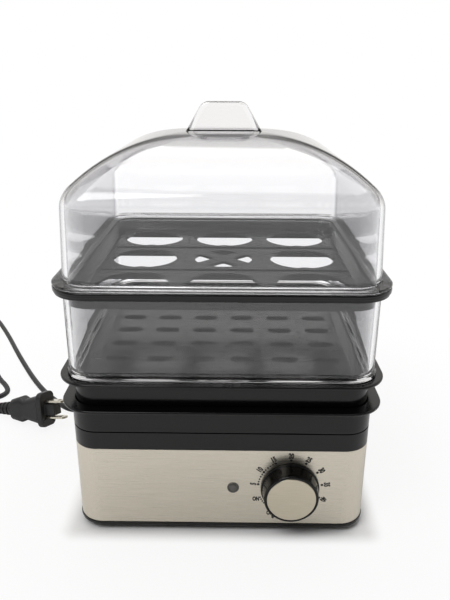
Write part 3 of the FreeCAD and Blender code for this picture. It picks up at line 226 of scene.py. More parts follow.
def make_materials(colours):
    """Every finish of the object, made once, each with what it gives the eye."""
    MATERIALS.update({
        # ABS from a polished mould: nearly black, with slightly soft reflections of the worktop and the rims.
        "black_abs": grained("Moulded black ABS", colours.black_abs, 0.17, 0.6, 0.03, 0.03, IOR=1.43),
        # Polished ABS: nearly black, with sharp highlights.
        "gloss_abs": grained("Polished black ABS", colours.gloss_abs, 0.16, 1.0, 0.02, 0.04, IOR=1.4),
        # Injection-moulded SAN: water-clear, with painted grey shade on its rims and corners where it is seen
        # edge on.
        "clear_san": clear("Clear moulded SAN", colours.clear_san, colours.clear_edge_shade, 0.01, 1.5),
        # Stainless strip, brushed along its length before it was bent: fine level lines, a broad soft shine.
        "stainless": brushed("Brushed stainless steel", colours.stainless, 0.27, 0.16, 22.0),
        # Aluminium disc, brushed across and lacquered: paler and finer than the steel.
        "aluminium": brushed("Brushed aluminium", colours.aluminium, 0.3, 0.12, 8.0),
        # A printed film: flat black on the bright steel.
        "ink": grained("Black screen-print ink", colours.ink, 0.5, 0.2, 0.03, 0.1, IOR=1.45),
        # Extruded soft PVC: dark grey with a broad dull sheen.
        "vinyl": grained("Black PVC", colours.vinyl, 0.42, 0.4, 0.05, 0.2, IOR=1.52),
        # Pressed rubber: matt, with no clear highlight.
        "rubber": grained("Black rubber", linear("191919"), 0.7, 0.3, 0.05, 0.3, IOR=1.5),
        # Zinc plating: light grey metal, slightly clouded.
        "zinc": grained("Zinc-plated steel", linear("b9b7ae"), 0.32, 0.3, 0.06, 0.1, Metallic=1.0),
        # Plated brass: pale, warm and smooth.
        "brass": brushed("Nickel-plated brass", linear("d8d2c4"), 0.22, 0.15, 5.0),
        # Spun steel: fine lines in a soft shine.
        "plate": brushed("Spun stainless steel", linear("c4c2bc"), 0.26, 0.2, 9.0),
        # Moulded nylon: milky white and a little waxy.
        "nylon": grained("White nylon", linear("d9d6cc"), 0.45, 0.6, 0.05, 0.15, IOR=1.53),
        # Pressed phenolic: brown-black and dull.
        "phenolic": grained("Black phenolic", linear("262320"), 0.55, 0.4, 0.05, 0.2, IOR=1.6),
        # Cured silicone: brick red with a soft sheen.
        "silicone": grained("Red silicone", linear("8c2f22"), 0.5, 0.5, 0.05, 0.1, IOR=1.43),
        # Steel tube that has been hot: brown-grey scale.
        "sheath": grained("Oxidised steel sheath", linear("6b665f"), 0.5, 0.3, 0.08, 0.3, Metallic=0.8),
        # Woven sleeve: cream and rough.
        "wire": grained("Fibreglass wire sleeve", linear("cfc9ba"), 0.6, 0.25, 0.05, 0.4, IOR=1.5),
        # Drawn glass: clear and warm, with painted shade at its sides where it is seen edge on.
        "glass": clear("Neon lamp glass", linear("f2e4d6"), linear("9a8f86"), 0.03, 1.5),
        # Smoke-grey polycarbonate: a dim grey button until the neon behind it lights.
        "lens": grained("Grey polycarbonate lens", linear("5d5c59"), 0.14, 1.0, 0.03, 0.05, IOR=1.58)})


def deselect():
    """Leaves edit mode and selects nothing."""
    if bpy.context.object and bpy.context.object.mode != "OBJECT":
        bpy.ops.object.mode_set(mode="OBJECT")
    bpy.ops.object.select_all(action="DESELECT")


def make_active(piece):
    """Selects one piece and makes it the one that operators work on."""
    deselect()
    bpy.context.view_layer.objects.active = piece
    piece.select_set(True)


def edit_all(piece):
    """Opens a piece in edit mode with all its points selected."""
    make_active(piece)
    bpy.ops.object.mode_set(mode="EDIT")
    bpy.ops.mesh.select_mode(type="VERT")
    bpy.ops.mesh.select_all(action="SELECT")


def finish_piece(piece, name, material, body, replaces=(), angle=32.0):
    """Puts a finished mesh at the origin with smooth faces, a finish and a body to ride on."""
    make_active(piece)
    bpy.ops.object.transform_apply(location=True, rotation=True, scale=True)
    bpy.ops.object.shade_smooth_by_angle(angle=radians(angle))
    weigh = piece.modifiers.new("weigh", "WEIGHTED_NORMAL")
    weigh.keep_sharp = True
    apply_modifiers(piece)
    piece.name = name
    piece.data.name = name
    piece.data.materials.clear()
    piece.data.materials.append(MATERIALS[material])
    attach(piece, body)
    if replaces:
        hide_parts(*replaces)
    return piece


def apply_modifiers(piece):
    """Applies a piece's modifiers in order."""
    make_active(piece)
    for name in [m.name for m in piece.modifiers]:
        bpy.ops.object.modifier_apply(modifier=name)


def soften(piece, width):
    """Rounds the sharp edges of a piece."""
    bevel = piece.modifiers.new("round", "BEVEL")
    bevel.width = width
    bevel.segments = 2
    bevel.limit_method = "ANGLE"
    bevel.angle_limit = radians(35.0)
    bevel.use_clamp_overlap = True
    apply_modifiers(piece)


def cut(piece, cutter, operation="DIFFERENCE"):
    """Cuts one solid from another, or joins them, and removes the cutter."""
    boolean = piece.modifiers.new("cut", "BOOLEAN")
    boolean.operation = operation
    boolean.solver = "EXACT"
    boolean.object = cutter
    apply_modifiers(piece)
    make_active(cutter)
    bpy.ops.object.delete()


def dressed_copy(node_name, name, material, body, width=0.0, angle=32.0):
    """A copy of a CAD node with its triangles merged, its edges rounded and its faces smooth."""
    make_active(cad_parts[node_name])
    bpy.ops.object.duplicate()
    piece = bpy.context.object
    piece.parent = None
    piece.matrix_world = Matrix.Identity(4)
    edit_all(piece)
    bpy.ops.mesh.remove_doubles(threshold=0.002 * MM)
    bpy.ops.mesh.dissolve_limited(angle_limit=radians(0.5))
    bpy.ops.object.mode_set(mode="OBJECT")
    if width:
        soften(piece, width)
    return finish_piece(piece, name, material, body, [node_name], angle)


def square_profile(profile):
    """Sweeps (half width, corner radius, height) points round a square with round corners.

    Each step extrudes the last loop upwards, then moves and scales its four corners one by one.
    Where the profile doesn't end where it began, both ends are closed by flat faces.
    """
    half, corner, height = profile[0]
    deselect()
    bpy.ops.mesh.primitive_plane_add(size=2 * half, location=(0, MIDDLE_Y, height))
    piece = bpy.context.object
    bpy.ops.object.transform_apply(location=True)
    edit_all(piece)
    bpy.ops.mesh.bevel(offset=corner, offset_type="OFFSET", affect="VERTICES", segments=sizes().corner_steps)
    bpy.ops.mesh.select_all(action="SELECT")
    bpy.ops.mesh.delete(type="ONLY_FACE")
    bpy.ops.mesh.select_all(action="SELECT")
    for new_half, new_corner, new_height in profile[1:]:
        bpy.ops.mesh.extrude_region_move(TRANSFORM_OT_translate={"value": (0, 0, new_height - height)})
        loop = [v.index for v in bmesh.from_edit_mesh(piece.data).verts if v.select]
        scale = new_corner / corner
        shift = (new_half - new_corner) - (half - corner)
        for side_x in (-1, 1):
            for side_y in (-1, 1):
                pick_from(piece, loop, lambda v: v.co.x * side_x > 0 and (v.co.y - MIDDLE_Y) * side_y > 0)
                centre = (side_x * (half - corner), MIDDLE_Y + side_y * (half - corner), new_height)
                bpy.ops.transform.resize(value=(scale, scale, 1), center_override=centre)
                bpy.ops.transform.translate(value=(side_x * shift, side_y * shift, 0))
        pick_from(piece, loop, lambda v: True)
        half, corner, height = new_half, new_corner, new_height
    close_piece(piece, 2, [] if profile[0] == profile[-1] else [profile[0][2], profile[-1][2]])
    return piece


def pick_from(piece, loop, test):
    """Selects those points of a loop that pass the test, in edit mode."""
    bpy.ops.mesh.select_all(action="DESELECT")
    mesh = bmesh.from_edit_mesh(piece.data)
    mesh.verts.ensure_lookup_table()
    for index in loop:
        if test(mesh.verts[index]):
            mesh.verts[index].select_set(True)
    mesh.select_flush(True)
    bmesh.update_edit_mesh(piece.data)


def close_piece(piece, axis, places):
    """Merges double points, closes the open loops at these places along an axis and turns faces outward."""
    edit_all(piece)
    bpy.ops.mesh.remove_doubles(threshold=0.001 * MM)
    bpy.ops.mesh.select_mode(type="EDGE")
    for place in places:
        pick_edges(piece, lambda e: e.is_boundary and all(abs(v.co[axis] - place) < 0.01 * MM for v in e.verts))
        bpy.ops.mesh.edge_face_add()
    bpy.ops.mesh.select_all(action="SELECT")
    bpy.ops.mesh.normals_make_consistent(inside=False)
    bpy.ops.object.mode_set(mode="OBJECT")


def corner_curve(start, corner, end, steps):
    """Points of a curve from start to end that bends towards the corner between them."""
    return [tuple(start * (1 - t) ** 2 + corner * (2 * t * (1 - t)) + end * t ** 2)
            for t in (step / steps for step in range(steps + 1))]


def soft_profile(points, radius, steps=3):
    """The same profile with each inner corner rounded. A fourth value in a point is its own radius."""
    ends = points[0][:3] != points[-1][:3]
    ring = points if ends else points[:-1]
    made = []
    for n, point in enumerate(ring):
        here = Vector(point[:3])
        if ends and n in (0, len(ring) - 1):
            made.append(tuple(here))
            continue
        reach = point[3] if len(point) > 3 else radius
        legs = []
        for other in (Vector(ring[n - 1][:3]), Vector(ring[(n + 1) % len(ring)][:3])):
            far = hypot(other.x - here.x, other.z - here.z)
            legs.append(here + (other - here) * min(reach / far, 0.45))
        made += corner_curve(legs[0], here, legs[1], steps)
    if not ends:
        made.append(made[0])
    return made


def at(inset, height, reach=None, ease=0.0):
    """A profile point so many millimetres inside the base's outer face, at a height in metres.

    Its corner is concentric with the base's, plus ease. Its own rounding may follow.
    """
    corner = sizes().corner
    point = (BODY_HALF - inset * MM, corner - (inset - ease) * MM, height)
    return point if reach is None else point + (reach * MM,)


def inset_points(half, corner, pairs):
    """Profile points from (inset, height) pairs: each lies so far inside a square with round corners."""
    return [(half - inset, corner - inset, height) for inset, height in pairs]


def turned(profile, centre, axis, steps=72):
    """Spins (radius, place) points, in metres, round a line along Y (1) or Z (2) through centre."""
    radius, place = profile[0]
    middle = [centre[0], centre[1], centre[1]]
    middle[axis] = place
    turn = (pi / 2, 0, 0) if axis == 1 else (0, 0, 0)
    deselect()
    bpy.ops.mesh.primitive_circle_add(vertices=steps, radius=radius, fill_type="NOTHING", location=middle,
                                      rotation=turn)
    piece = bpy.context.object
    bpy.ops.object.transform_apply(location=True, rotation=True)
    edit_all(piece)
    for new_radius, new_place in profile[1:]:
        step = [0, 0, 0]
        step[axis] = new_place - place
        bpy.ops.mesh.extrude_region_move(TRANSFORM_OT_translate={"value": step})
        middle[axis] = new_place
        scale = [new_radius / radius] * 3
        scale[axis] = 1
        bpy.ops.transform.resize(value=scale, center_override=middle)
        radius, place = new_radius, new_place
    close_piece(piece, axis, [] if profile[0] == profile[-1] else [profile[0][1], profile[-1][1]])
    return piece


def soft_turning(points, radius, steps=3):
    """(radius, place) points with each inner corner rounded."""
    full = [(point[0], 0.0, point[1]) + tuple(point[2:]) for point in points]
    return [(point[0], point[2]) for point in soft_profile(full, radius, steps)]


def block(x, y, z):
    """A box from three (low, high) pairs in millimetres about the middle of the base."""
    deselect()
    low, high = placed((x[0], y[0], z[0])), placed((x[1], y[1], z[1]))
    bpy.ops.mesh.primitive_cube_add(size=1, location=(low + high) / 2)
    piece = bpy.context.object
    piece.scale = high - low
    bpy.ops.object.transform_apply(location=True, rotation=True, scale=True)
    return piece


def joined(pieces):
    """One mesh from several."""
    deselect()
    for piece in pieces:
        piece.select_set(True)
    bpy.context.view_layer.objects.active = pieces[0]
    bpy.ops.object.join()
    return bpy.context.object


def pick_edges(piece, test):
    """Selects the edges that pass the test, in edit mode."""
    bpy.ops.mesh.select_all(action="DESELECT")
    mesh = bmesh.from_edit_mesh(piece.data)
    for edge in mesh.edges:
        if test(edge):
            edge.select_set(True)
    bmesh.update_edit_mesh(piece.data)


def runs_along(edge, axis):
    """Whether an edge runs along an axis."""
    first, second = edge.verts
    return all(abs(first.co[other] - second.co[other]) < 0.1 * MM for other in range(3) if other != axis)


def round_edges(piece, test, radius, steps):
    """Rounds those edges of a piece that pass the test."""
    edit_all(piece)
    bpy.ops.mesh.select_mode(type="EDGE")
    pick_edges(piece, test)
    bpy.ops.mesh.bevel(offset=radius, segments=steps, affect="EDGES")
    bpy.ops.object.mode_set(mode="OBJECT")


def circle_outline(radius, count=20):
    """A circle round the origin, as (x, y) points."""
    return [(radius * cos(2 * pi * n / count), radius * sin(2 * pi * n / count))
            for n in range(count)]


def soft_outline(corners, radius, steps=6):
    """A closed outline with each corner rounded by a curve that starts radius away from it."""
    made = []
    for n, corner in enumerate(corners):
        here = Vector(corner)
        legs = []
        for other in (Vector(corners[n - 1]), Vector(corners[(n + 1) % len(corners)])):
            legs.append(here + (other - here) * min(radius / (other - here).length, 0.5))
        made += corner_curve(legs[0], here, legs[1], steps)
    return made


def square_outline(half, corner, steps=12):
    """A square with round corners, as (x, y) points."""
    made = []
    for turn in range(4):
        side_x = 1 if turn in (0, 3) else -1
        side_y = 1 if turn in (0, 1) else -1
        for n in range(steps + 1):
            angle = pi / 2 * (turn + n / steps)
            made.append((side_x * (half - corner) + corner * cos(angle),
                         side_y * (half - corner) + corner * sin(angle)))
    return made


def slot_outline(length, width, x, y, turn=0.0, steps=8):
    """A slot with round ends, centred on x, y and turned by an angle."""
    made = []
    for side in (1, -1):
        for n in range(steps + 1):
            angle = pi * (n / steps - 0.5)
            along = side * ((length - width) / 2 + width / 2 * cos(angle))
            across = side * width / 2 * sin(angle)
            made.append((x + along * cos(turn) - across * sin(turn),
                         y + along * sin(turn) + across * cos(turn)))
    return made


def flat_plate(outlines, low, high, edge):
    """A plate between two heights, its rim first and then its holes, all in millimetres, with round edges."""
    drawing = bpy.data.curves.new("plate", "CURVE")
    drawing.dimensions = "2D"
    drawing.fill_mode = "BOTH"
    drawing.extrude = (high - low) / 2 - edge
    drawing.bevel_depth = edge
    drawing.bevel_resolution = 2
    drawing.offset = -edge
    for outline in [outlines[0]] + [hole[::-1] for hole in outlines[1:]]:
        spline = drawing.splines.new("POLY")
        spline.points.add(len(outline) - 1)
        for point, (x, y) in zip(spline.points, outline):
            point.co = (x * MM, y * MM, 0.0, 1.0)
        spline.use_cyclic_u = True
    plate = bpy.data.objects.new("plate", drawing)
    bpy.context.scene.collection.objects.link(plate)
    make_active(plate)
    bpy.ops.object.convert(target="MESH")
    plate = bpy.context.object
    plate.location = (0, MIDDLE_Y, (low + high) / 2)
    bpy.ops.object.transform_apply(location=True)
    close_piece(plate, 2, [])
    edit_all(plate)
    bpy.ops.mesh.dissolve_degenerate(threshold=0.005 * MM)
    bpy.ops.mesh.quads_convert_to_tris()
    bpy.ops.mesh.beautify_fill(angle_limit=radians(1))
    bpy.ops.object.mode_set(mode="OBJECT")
    return plate


# The cord's route, in millimetres about the middle of the base, as its control points. Those without a
# height lie on the worktop.
CORD_OUT = [
    (-45, 112.3, 16), (-45, 127.3, 16), (-49.5, 141, 10.5), (-60, 150.5, 5), (-75, 152), (-90, 145.5),
    (-100.5, 133), (-105, 117), (-105.3, 98), (-103.3, 78), (-104, 60.3), (-109.7, 51.8), (-119.3, 47.8),
    (-129.4, 49.8), (-143.5, 63.5), (-157, 78.5), (-172, 99.5), (-188.5, 126), (-207.5, 158),
    (-227.5, 193.5), (-246.5, 224.5), (-258.1, 242), (-268.7, 246), (-279.6, 242.9), (-286.4, 233.8),
    (-287, 216), (-285.3, 195), (-283.5, 173.4, 2.4)]
CORD_BACK = [
    (-243.6, 133.5, 14.5), (-231, 130.5, 11.2), (-219.5, 122, 6.3), (-210.5, 110.5, 2.9), (-202.5, 98.5),
    (-194.1, 88.8), (-188.6, 79.3), (-188.95, 73.05), (-192.7, 68), (-198.8, 65.7), (-202.6, 60.2),
    (-202.6, 53.5, 2.5), (-198.4, 48.07, 3.15), (-186, 43.9, 5.6)]
COIL_CENTRE = (-260, 157)
COIL_RADIUS = 23.5
COIL_TURNS = 2.25
COIL_PITCH = 4.9
COIL_LOW = 2.85
COIL_POINTS_PER_TURN = 12
CORD_DIAMETER = 4.4
CORD_REST = 2.25    # height of the cord's middle where it lies on the worktop


def placed(point):
    """A point given in millimetres about the middle of the base, in metres in the row's frame."""
    return Vector((point[0] * MM, point[1] * MM + MIDDLE_Y, point[2] * MM))


def laid(points):
    """A stretch of the cord's route in metres."""
    return [placed((*point, CORD_REST)[:3]) for point in points]


def coil_points():
    """The turns of the put-away coil, a stack that starts at its left side and rises."""
    count = round(COIL_TURNS * COIL_POINTS_PER_TURN)
    step = 2 * pi / COIL_POINTS_PER_TURN
    reach = COIL_RADIUS / cos(step / 2)
    points = []
    for n in range(count):
        angle = pi + (n + 0.5) * step
        points.append((COIL_CENTRE[0] + reach * cos(angle), COIL_CENTRE[1] + reach * sin(angle),
                       COIL_LOW + COIL_PITCH * (n + 0.5) / COIL_POINTS_PER_TURN))
    return points


class EGGBOILER_OT_cord(bpy.types.Operator):
    """Lays the power cord, its coil, its tie, the bush at the back and the plug"""
    bl_idname = "eggboiler.cord"
    bl_label = "Power cord"

    def execute(self, context):
        route = laid(CORD_OUT + coil_points() + CORD_BACK)
        curve = bpy.data.curves.new("power_lead", "CURVE")
        curve.dimensions = "3D"
        spline = curve.splines.new("NURBS")
        spline.points.add(len(route) - 1)
        for point, place in zip(spline.points, route):
            point.co = (*place, 1.0)
        spline.order_u = 3
        spline.use_endpoint_u = True
        spline.resolution_u = 8
        curve.bevel_depth = CORD_DIAMETER / 2 * MM
        curve.bevel_resolution = 5
        curve.use_fill_caps = True
        curve.materials.append(MATERIALS["vinyl"])
        lead = bpy.data.objects.new("power_lead", curve)
        context.scene.collection.objects.link(lead)
        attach(lead, "base")
        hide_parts("power_cord", "cord_coil", "cord_tail")
        plug = dressed_copy("plug_body", "plug_grip", "vinyl", "base", 0.8 * MM)
        relief = dressed_copy("plug_relief", "plug_sleeve", "vinyl", "base", 0.3 * MM)
        blades = dressed_copy("plug_blades", "plug_pins", "brass", "base", 0.15 * MM)
        bush = dressed_copy("cord_bush", "rear_bush", "vinyl", "base", 0.3 * MM)
        tie = dressed_copy("cord_tie", "coil_tie", "vinyl", "base", 0.1 * MM)
        return {"FINISHED"}


# The view, in millimetres about the middle of the base and in degrees.
CAMERA_PLACE = (5.547, -383.51, 259.0)
CAMERA_PAN, CAMERA_DOWN, CAMERA_ROLL = 0.6706, 20.272, 0.2226
CAMERA_LENS = 48.16


class EGGBOILER_OT_camera(bpy.types.Operator):
    """Adds the camera at the height and distance of a person who looks down at the worktop"""
    bl_idname = "eggboiler.camera"
    bl_label = "Camera"

    def execute(self, context):
        turn = Matrix.Identity(4)
        for angle, axis in ((CAMERA_PAN, "Z"), (90 - CAMERA_DOWN, "X"), (CAMERA_ROLL, "Z")):
            turn = turn @ Matrix.Rotation(radians(angle), 4, axis)
        deselect()
        bpy.ops.object.camera_add(location=placed(CAMERA_PLACE), rotation=turn.to_euler())
        camera = context.object
        camera.data.sensor_fit = "HORIZONTAL"
        camera.data.sensor_width = 36.0
        camera.data.lens = CAMERA_LENS
        camera.data.clip_start = 0.01
        context.scene.camera = camera
        return {"FINISHED"}


class EGGBOILER_OT_lid(bpy.types.Operator):
    """Models the clear domed lid with its hollow handle and steam slot"""
    bl_idname = "eggboiler.lid"
    bl_label = "Clear lid"

    def execute(self, context):
        wall, corner = sizes().lid_wall, sizes().corner
        low = LID_LOW + 1.9 * MM    # underside of the flange
        outside = lid_curve(low)
        inside = lid_offset(outside, wall)
        profile = [(half, corner - wall, height) for half, height in reversed(inside)]
        profile.append((profile[-1][0], corner - wall, low + wall))
        lip, lip_corner, thick, foot = 84.0 * MM, 12.3 * MM, 1.8 * MM, 0.4 * MM
        profile += inset_points(lip, lip_corner, [
            (thick, low + 0.6 * MM), (thick, LID_LOW + foot), (thick - foot, LID_LOW), (foot, LID_LOW),
            (0.0, LID_LOW + foot), (0.0, low)])
        rim = [(0.6, 0.0), (0.18, 0.18), (0.0, 0.6), (0.0, 1.2), (0.18, 1.62), (0.6, 1.8)]
        profile += inset_points(FLANGE_HALF, corner + FLANGE_HALF - BODY_HALF, [
            (inset * MM, low + rise * MM) for inset, rise in rim])
        profile += inset_points(outside[0][0], corner, [(-1.2 * MM, low + 1.8 * MM), (-0.3 * MM, low + 2.2 * MM)])
        profile += [(half, corner, height) for half, height in outside[1:]]
        lid = square_profile(profile)
        crown = outside[-1][1]
        cut(lid, handle_block(crown, 0.0), "UNION")
        cut(lid, handle_block(crown, 2.2))
        cut(lid, steam_slot())
        finish_piece(lid, "clear_lid", "clear_san", "lid", ["lid"], 40.0)
        return {"FINISHED"}


def lid_curve(low):
    """(half width, height) points up the outside of the lid, from the rim to the crown."""
    wall_top = low + 40.0 * MM
    half_low, half_high = 86.6 * MM, 85.4 * MM
    shoulder = 15.1 * MM
    slope = radians(44)
    crown_half, crown = 19.2 * MM, wall_top + 34.0 * MM
    points = [(half_low, low), (half_high, wall_top)]
    steps = 8
    for n in range(1, steps + 1):
        angle = (pi / 2 - slope) * n / steps
        points.append((half_high - shoulder * (1 - cos(angle)), wall_top + shoulder * sin(angle)))
    half, height = points[-1]
    bend = half - (crown - height) / tan(slope)
    steps = 14
    for n in range(1, steps + 1):
        t = n / steps
        points.append(((1 - t) ** 2 * half + 2 * t * (1 - t) * bend + t * t * crown_half,
                       (1 - t) ** 2 * height + (1 - (1 - t) ** 2) * crown))
    return points


def lid_offset(points, wall):
    """The same curve moved inwards by the wall's thickness."""
    moved = []
    for n, (half, height) in enumerate(points):
        before = points[max(n - 1, 0)]
        after = points[min(n + 1, len(points) - 1)]
        along = Vector((after[0] - before[0], after[1] - before[1])).normalized()
        if n == 0:
            along = Vector((0, 1))
        if n == len(points) - 1:
            along = Vector((-1, 0))
        moved.append((half - along.y * wall, height + along.x * wall))
    return moved


def handle_block(crown, inset):
    """The grip on the lid, a trapezium with round top corners, moved inwards by inset millimetres."""
    foot, top, depth, corner = (half - inset for half in (23.8, 12.9, 6.0, 6.0))
    rise, sunk = 17.2 - inset, 1.2
    if inset:
        sunk += 4.0     # the hollow opens below the crown
    low, high = crown / MM - sunk, crown / MM + rise
    grip = block((-foot, foot), (-depth, depth), (low, high))
    edit_all(grip)
    pick_from(grip, range(8), lambda v: v.co.z > (low + high) / 2 * MM)
    bpy.ops.transform.resize(value=(top / foot, 1, 1), center_override=(0, MIDDLE_Y, high * MM))
    round_edges(grip, lambda e: all(v.co.z > (high - 1) * MM for v in e.verts) and runs_along(e, 1),
                corner / sqrt(3) * MM, 8)
    if not inset:
        round_edges(grip, lambda e: max(v.co.z for v in e.verts) > (low + 1) * MM
                    and abs(e.verts[0].co.y - e.verts[1].co.y) < 0.1 * MM, 2.0 * MM, 4)
    return grip


def steam_slot():
    """Cutter for the short slot high on the right of the lid."""
    across, back, up = (69.3, 71.7), (32, 44), (197, 227)
    slot = block(across, back, up)
    round_edges(slot, lambda e: runs_along(e, 2), 1.15 * MM, 5)
    return slot


class EGGBOILER_OT_tier_ring(bpy.types.Operator):
    """Models the clear tier ring between the trays"""
    bl_idname = "eggboiler.tier_ring"
    bl_label = "Clear tier ring"

    def execute(self, context):
        wall, foot = sizes().ring_wall, RING_LOW + 1.4 * MM
        thick, bead, soft = 1.8 * MM, 1.1 * MM, 0.5 * MM
        # Top of the bead, middle of the slope above it, and foot of the upright wall.
        slope = [foot + rise * MM for rise in (2.0, 2.6, 3.4)]
        lip, lip_corner = 84.0 * MM, 12.8 * MM
        profile = inset_points(lip, lip_corner, [
            (0.0, foot), (0.0, RING_LOW + soft), (soft, RING_LOW), (thick - soft, RING_LOW),
            (thick, RING_LOW + soft), (thick, slope[0])])
        profile += inset_points(BODY_HALF, sizes().corner, [
            (wall + 0.8 * MM, slope[1]), (wall, slope[2]), (wall, RING_TOP - soft), (wall - soft, RING_TOP),
            (soft, RING_TOP), (0.0, RING_TOP - soft), (0.0, slope[2]), (soft - bead, slope[1]), (-bead, slope[0]),
            (-bead, foot + soft), (soft - bead, foot)])
        profile.append(profile[0])
        ring = square_profile(profile)
        finish_piece(ring, "clear_tier_ring", "clear_san", "tier_ring", ["tier_ring"], 50.0)
        return {"FINISHED"}


def dished_tray(rim, floor):
    """A tray from the points of its rim and skirt, with the slope and the edge of its flat floor."""
    under = floor - FLOOR_THICK * MM
    start = [at(FLOOR, under, ease=DISH_EASE), at(FLOOR - 2, under, ease=DISH_EASE)]
    end = [at(FLOOR, floor, 0.9, DISH_EASE), start[0]]
    return square_profile(soft_profile(start + rim + end, sizes().edge_round))


def tray_floor(holes, top):
    """A tray's perforated floor, with round edges, which reaches into the sloping side round it."""
    reach = 1.45
    rim = square_outline(FLOOR_HALF + reach, sizes().corner / MM - FLOOR + DISH_EASE + reach)
    return flat_plate([rim] + holes, top - (FLOOR_THICK - HEM) * MM, top + HEM * MM, sizes().hole_round)


def rib_bar(x, y, high, top):
    """A rib on a tray's floor between two (low, high) pairs, with round upper edges."""
    bar = block(x, y, (top / MM - FLOOR_THICK / 3, top / MM + high))
    round_edges(bar, lambda e: all(v.co.z > top for v in e.verts), 0.4 * MM, 3)
    return bar


def keels(cell, deep, top):
    """The square lattice of stiffening ribs under the egg tray's floor, deep below its upper face."""
    width, corner = 1.4, 1.2
    shape = square_outline(cell / 2 - width / 2, corner, 4)
    cells = [[(x + (n % 3 - 1) * cell, y + (n // 3 - 1) * cell) for x, y in shape] for n in range(9)]
    rim = square_outline(1.5 * cell + width / 2, corner + width, 4)
    return flat_plate([rim] + cells, top - deep * MM, top - FLOOR_THICK / 2 * MM, 0.25 * MM)


def egg_hole(x, y):
    """Outline of one egg seat: a circle with a bump front and back and a notch each side."""
    radius, bump, notch = 20.6, 6.0, 2.1
    away = radius + bump - 1.7
    parts = ((pi / 2, away, bump, -1), (3 * pi / 2, away, bump, -1),
             (0, radius, notch, 1), (pi, radius, notch, 1))
    angles = [2 * pi * n / 120 for n in range(120)]
    reaches = []
    for angle in angles:
        reach = radius
        for middle, centre, size, side in parts:
            cosine, sine = centre * cos(angle - middle), centre * sin(angle - middle)
            if cosine > 0 and abs(sine) < size:
                edge = cosine + side * sqrt(size ** 2 - sine ** 2)
                reach = max(reach, edge) if side > 0 else min(reach, edge)
        reaches.append(reach)
    smooth = [(reaches[n - 1] + 2 * reaches[n] + reaches[(n + 1) % 120]) / 4 for n in range(120)]
    return [(x + r * cos(a), y + r * sin(a)) for r, a in zip(smooth, angles)]


def petals():
    """Outlines of the four petals in the middle cell, which leave a diagonal cross between them."""
    radius, arm = 19.0, 9.0
    start = pi / 4 - asin(arm / 2 / radius)
    shapes = []
    for turn in range(4):
        shape = [(arm / sqrt(2), 0.0)]
        shape += [(radius * cos(a), radius * sin(a)) for a in (-start, -start / 3, start / 3, start)]
        corner = soft_outline(shape, 1.8)
        angle = turn * pi / 2
        shapes.append([(x * cos(angle) - y * sin(angle), x * sin(angle) + y * cos(angle))
                       for x, y in corner])
    return shapes


class EGGBOILER_OT_egg_tray(bpy.types.Operator):
    """Models the black tray with eight egg seats and a cross in the middle"""
    bl_idname = "eggboiler.egg_tray"
    bl_label = "Egg tray"

    def execute(self, context):
        top, floor = RACK_TOP, RACK_TOP - 7.5 * MM
        skirt, skirt_inside, keel = 2.9, 4.7, 6.4
        rim, lip = top - 4.6 * MM, top - 2.9 * MM
        tray = dished_tray([
            at(skirt_inside, floor + 1.7 * MM), at(skirt_inside, RACK_LOW), at(skirt, RACK_LOW), at(skirt, rim),
            at(FLANGE + 0.8, rim, 0.7), at(FLANGE + 0.8, lip), at(FLANGE, lip, 0.9), at(FLANGE, top, 1.0),
            at(STEP, top), at(STEP, top - 2 * MM), at(DISH, top - 2 * MM, ease=DISH_EASE)], floor)
        cell = 2 * FLOOR_HALF / 3
        holes = petals() + [egg_hole(i * cell, j * cell) for i in (-1, 0, 1) for j in (-1, 0, 1) if i or j]
        cut(tray, tray_floor(holes, floor), "UNION")
        reach, rib = FLOOR_HALF + 0.9, 0.62
        cut(tray, keels(cell, keel, floor), "UNION")
        for side in (-cell / 2, cell / 2):
            cut(tray, rib_bar((side - rib, side + rib), (-reach, reach), 0.9, floor), "UNION")
            cut(tray, rib_bar((-reach, reach), (side - rib, side + rib), 0.88, floor - HEM * MM), "UNION")
        finish_piece(tray, "egg_rack", "black_abs", "egg_tray", ["egg_tray"], 40.0)
        return {"FINISHED"}


class EGGBOILER_OT_steam_tray(bpy.types.Operator):
    """Models the deep black tray whose floor has rows of short steam slots"""
    bl_idname = "eggboiler.steam_tray"
    bl_label = "Steam tray"

    def execute(self, context):
        top, floor = TRAY_TOP, TRAY_TOP - 7.0 * MM
        wall, wall_inside = 2.4, 4.2
        step = top - 1.8 * MM
        tray = dished_tray([
            at(wall_inside, floor + 3.6 * MM), at(wall_inside, TRAY_LOW), at(wall, TRAY_LOW, 0.6),
            at(wall, top - 2 * MM), at(FLANGE, top - 2 * MM, 0.9), at(FLANGE, top, 0.9), at(STEP, top, ease=0.6),
            at(STEP, step, ease=0.6), at(DISH, step, ease=DISH_EASE)], floor)
        columns, rows = 6, 7
        column, row = 2 * FLOOR_HALF / columns, 2 * FLOOR_HALF / rows
        long, wide = 16.0, 7.2
        slots = [slot_outline(long, wide, (i - (columns - 1) / 2) * column, (j - (rows - 1) / 2) * row)
                 for i in range(columns) for j in range(rows)]
        cut(tray, tray_floor(slots, floor), "UNION")
        reach, rib = FLOOR_HALF + 0.6, 0.45
        for n in range(1, columns):
            line = (n - columns / 2) * column
            cut(tray, rib_bar((line - rib, line + rib), (-reach, reach), 0.6, floor), "UNION")
        finish_piece(tray, "slotted_tray", "black_abs", "steam_tray", ["steam_tray"], 40.0)
        return {"FINISHED"}


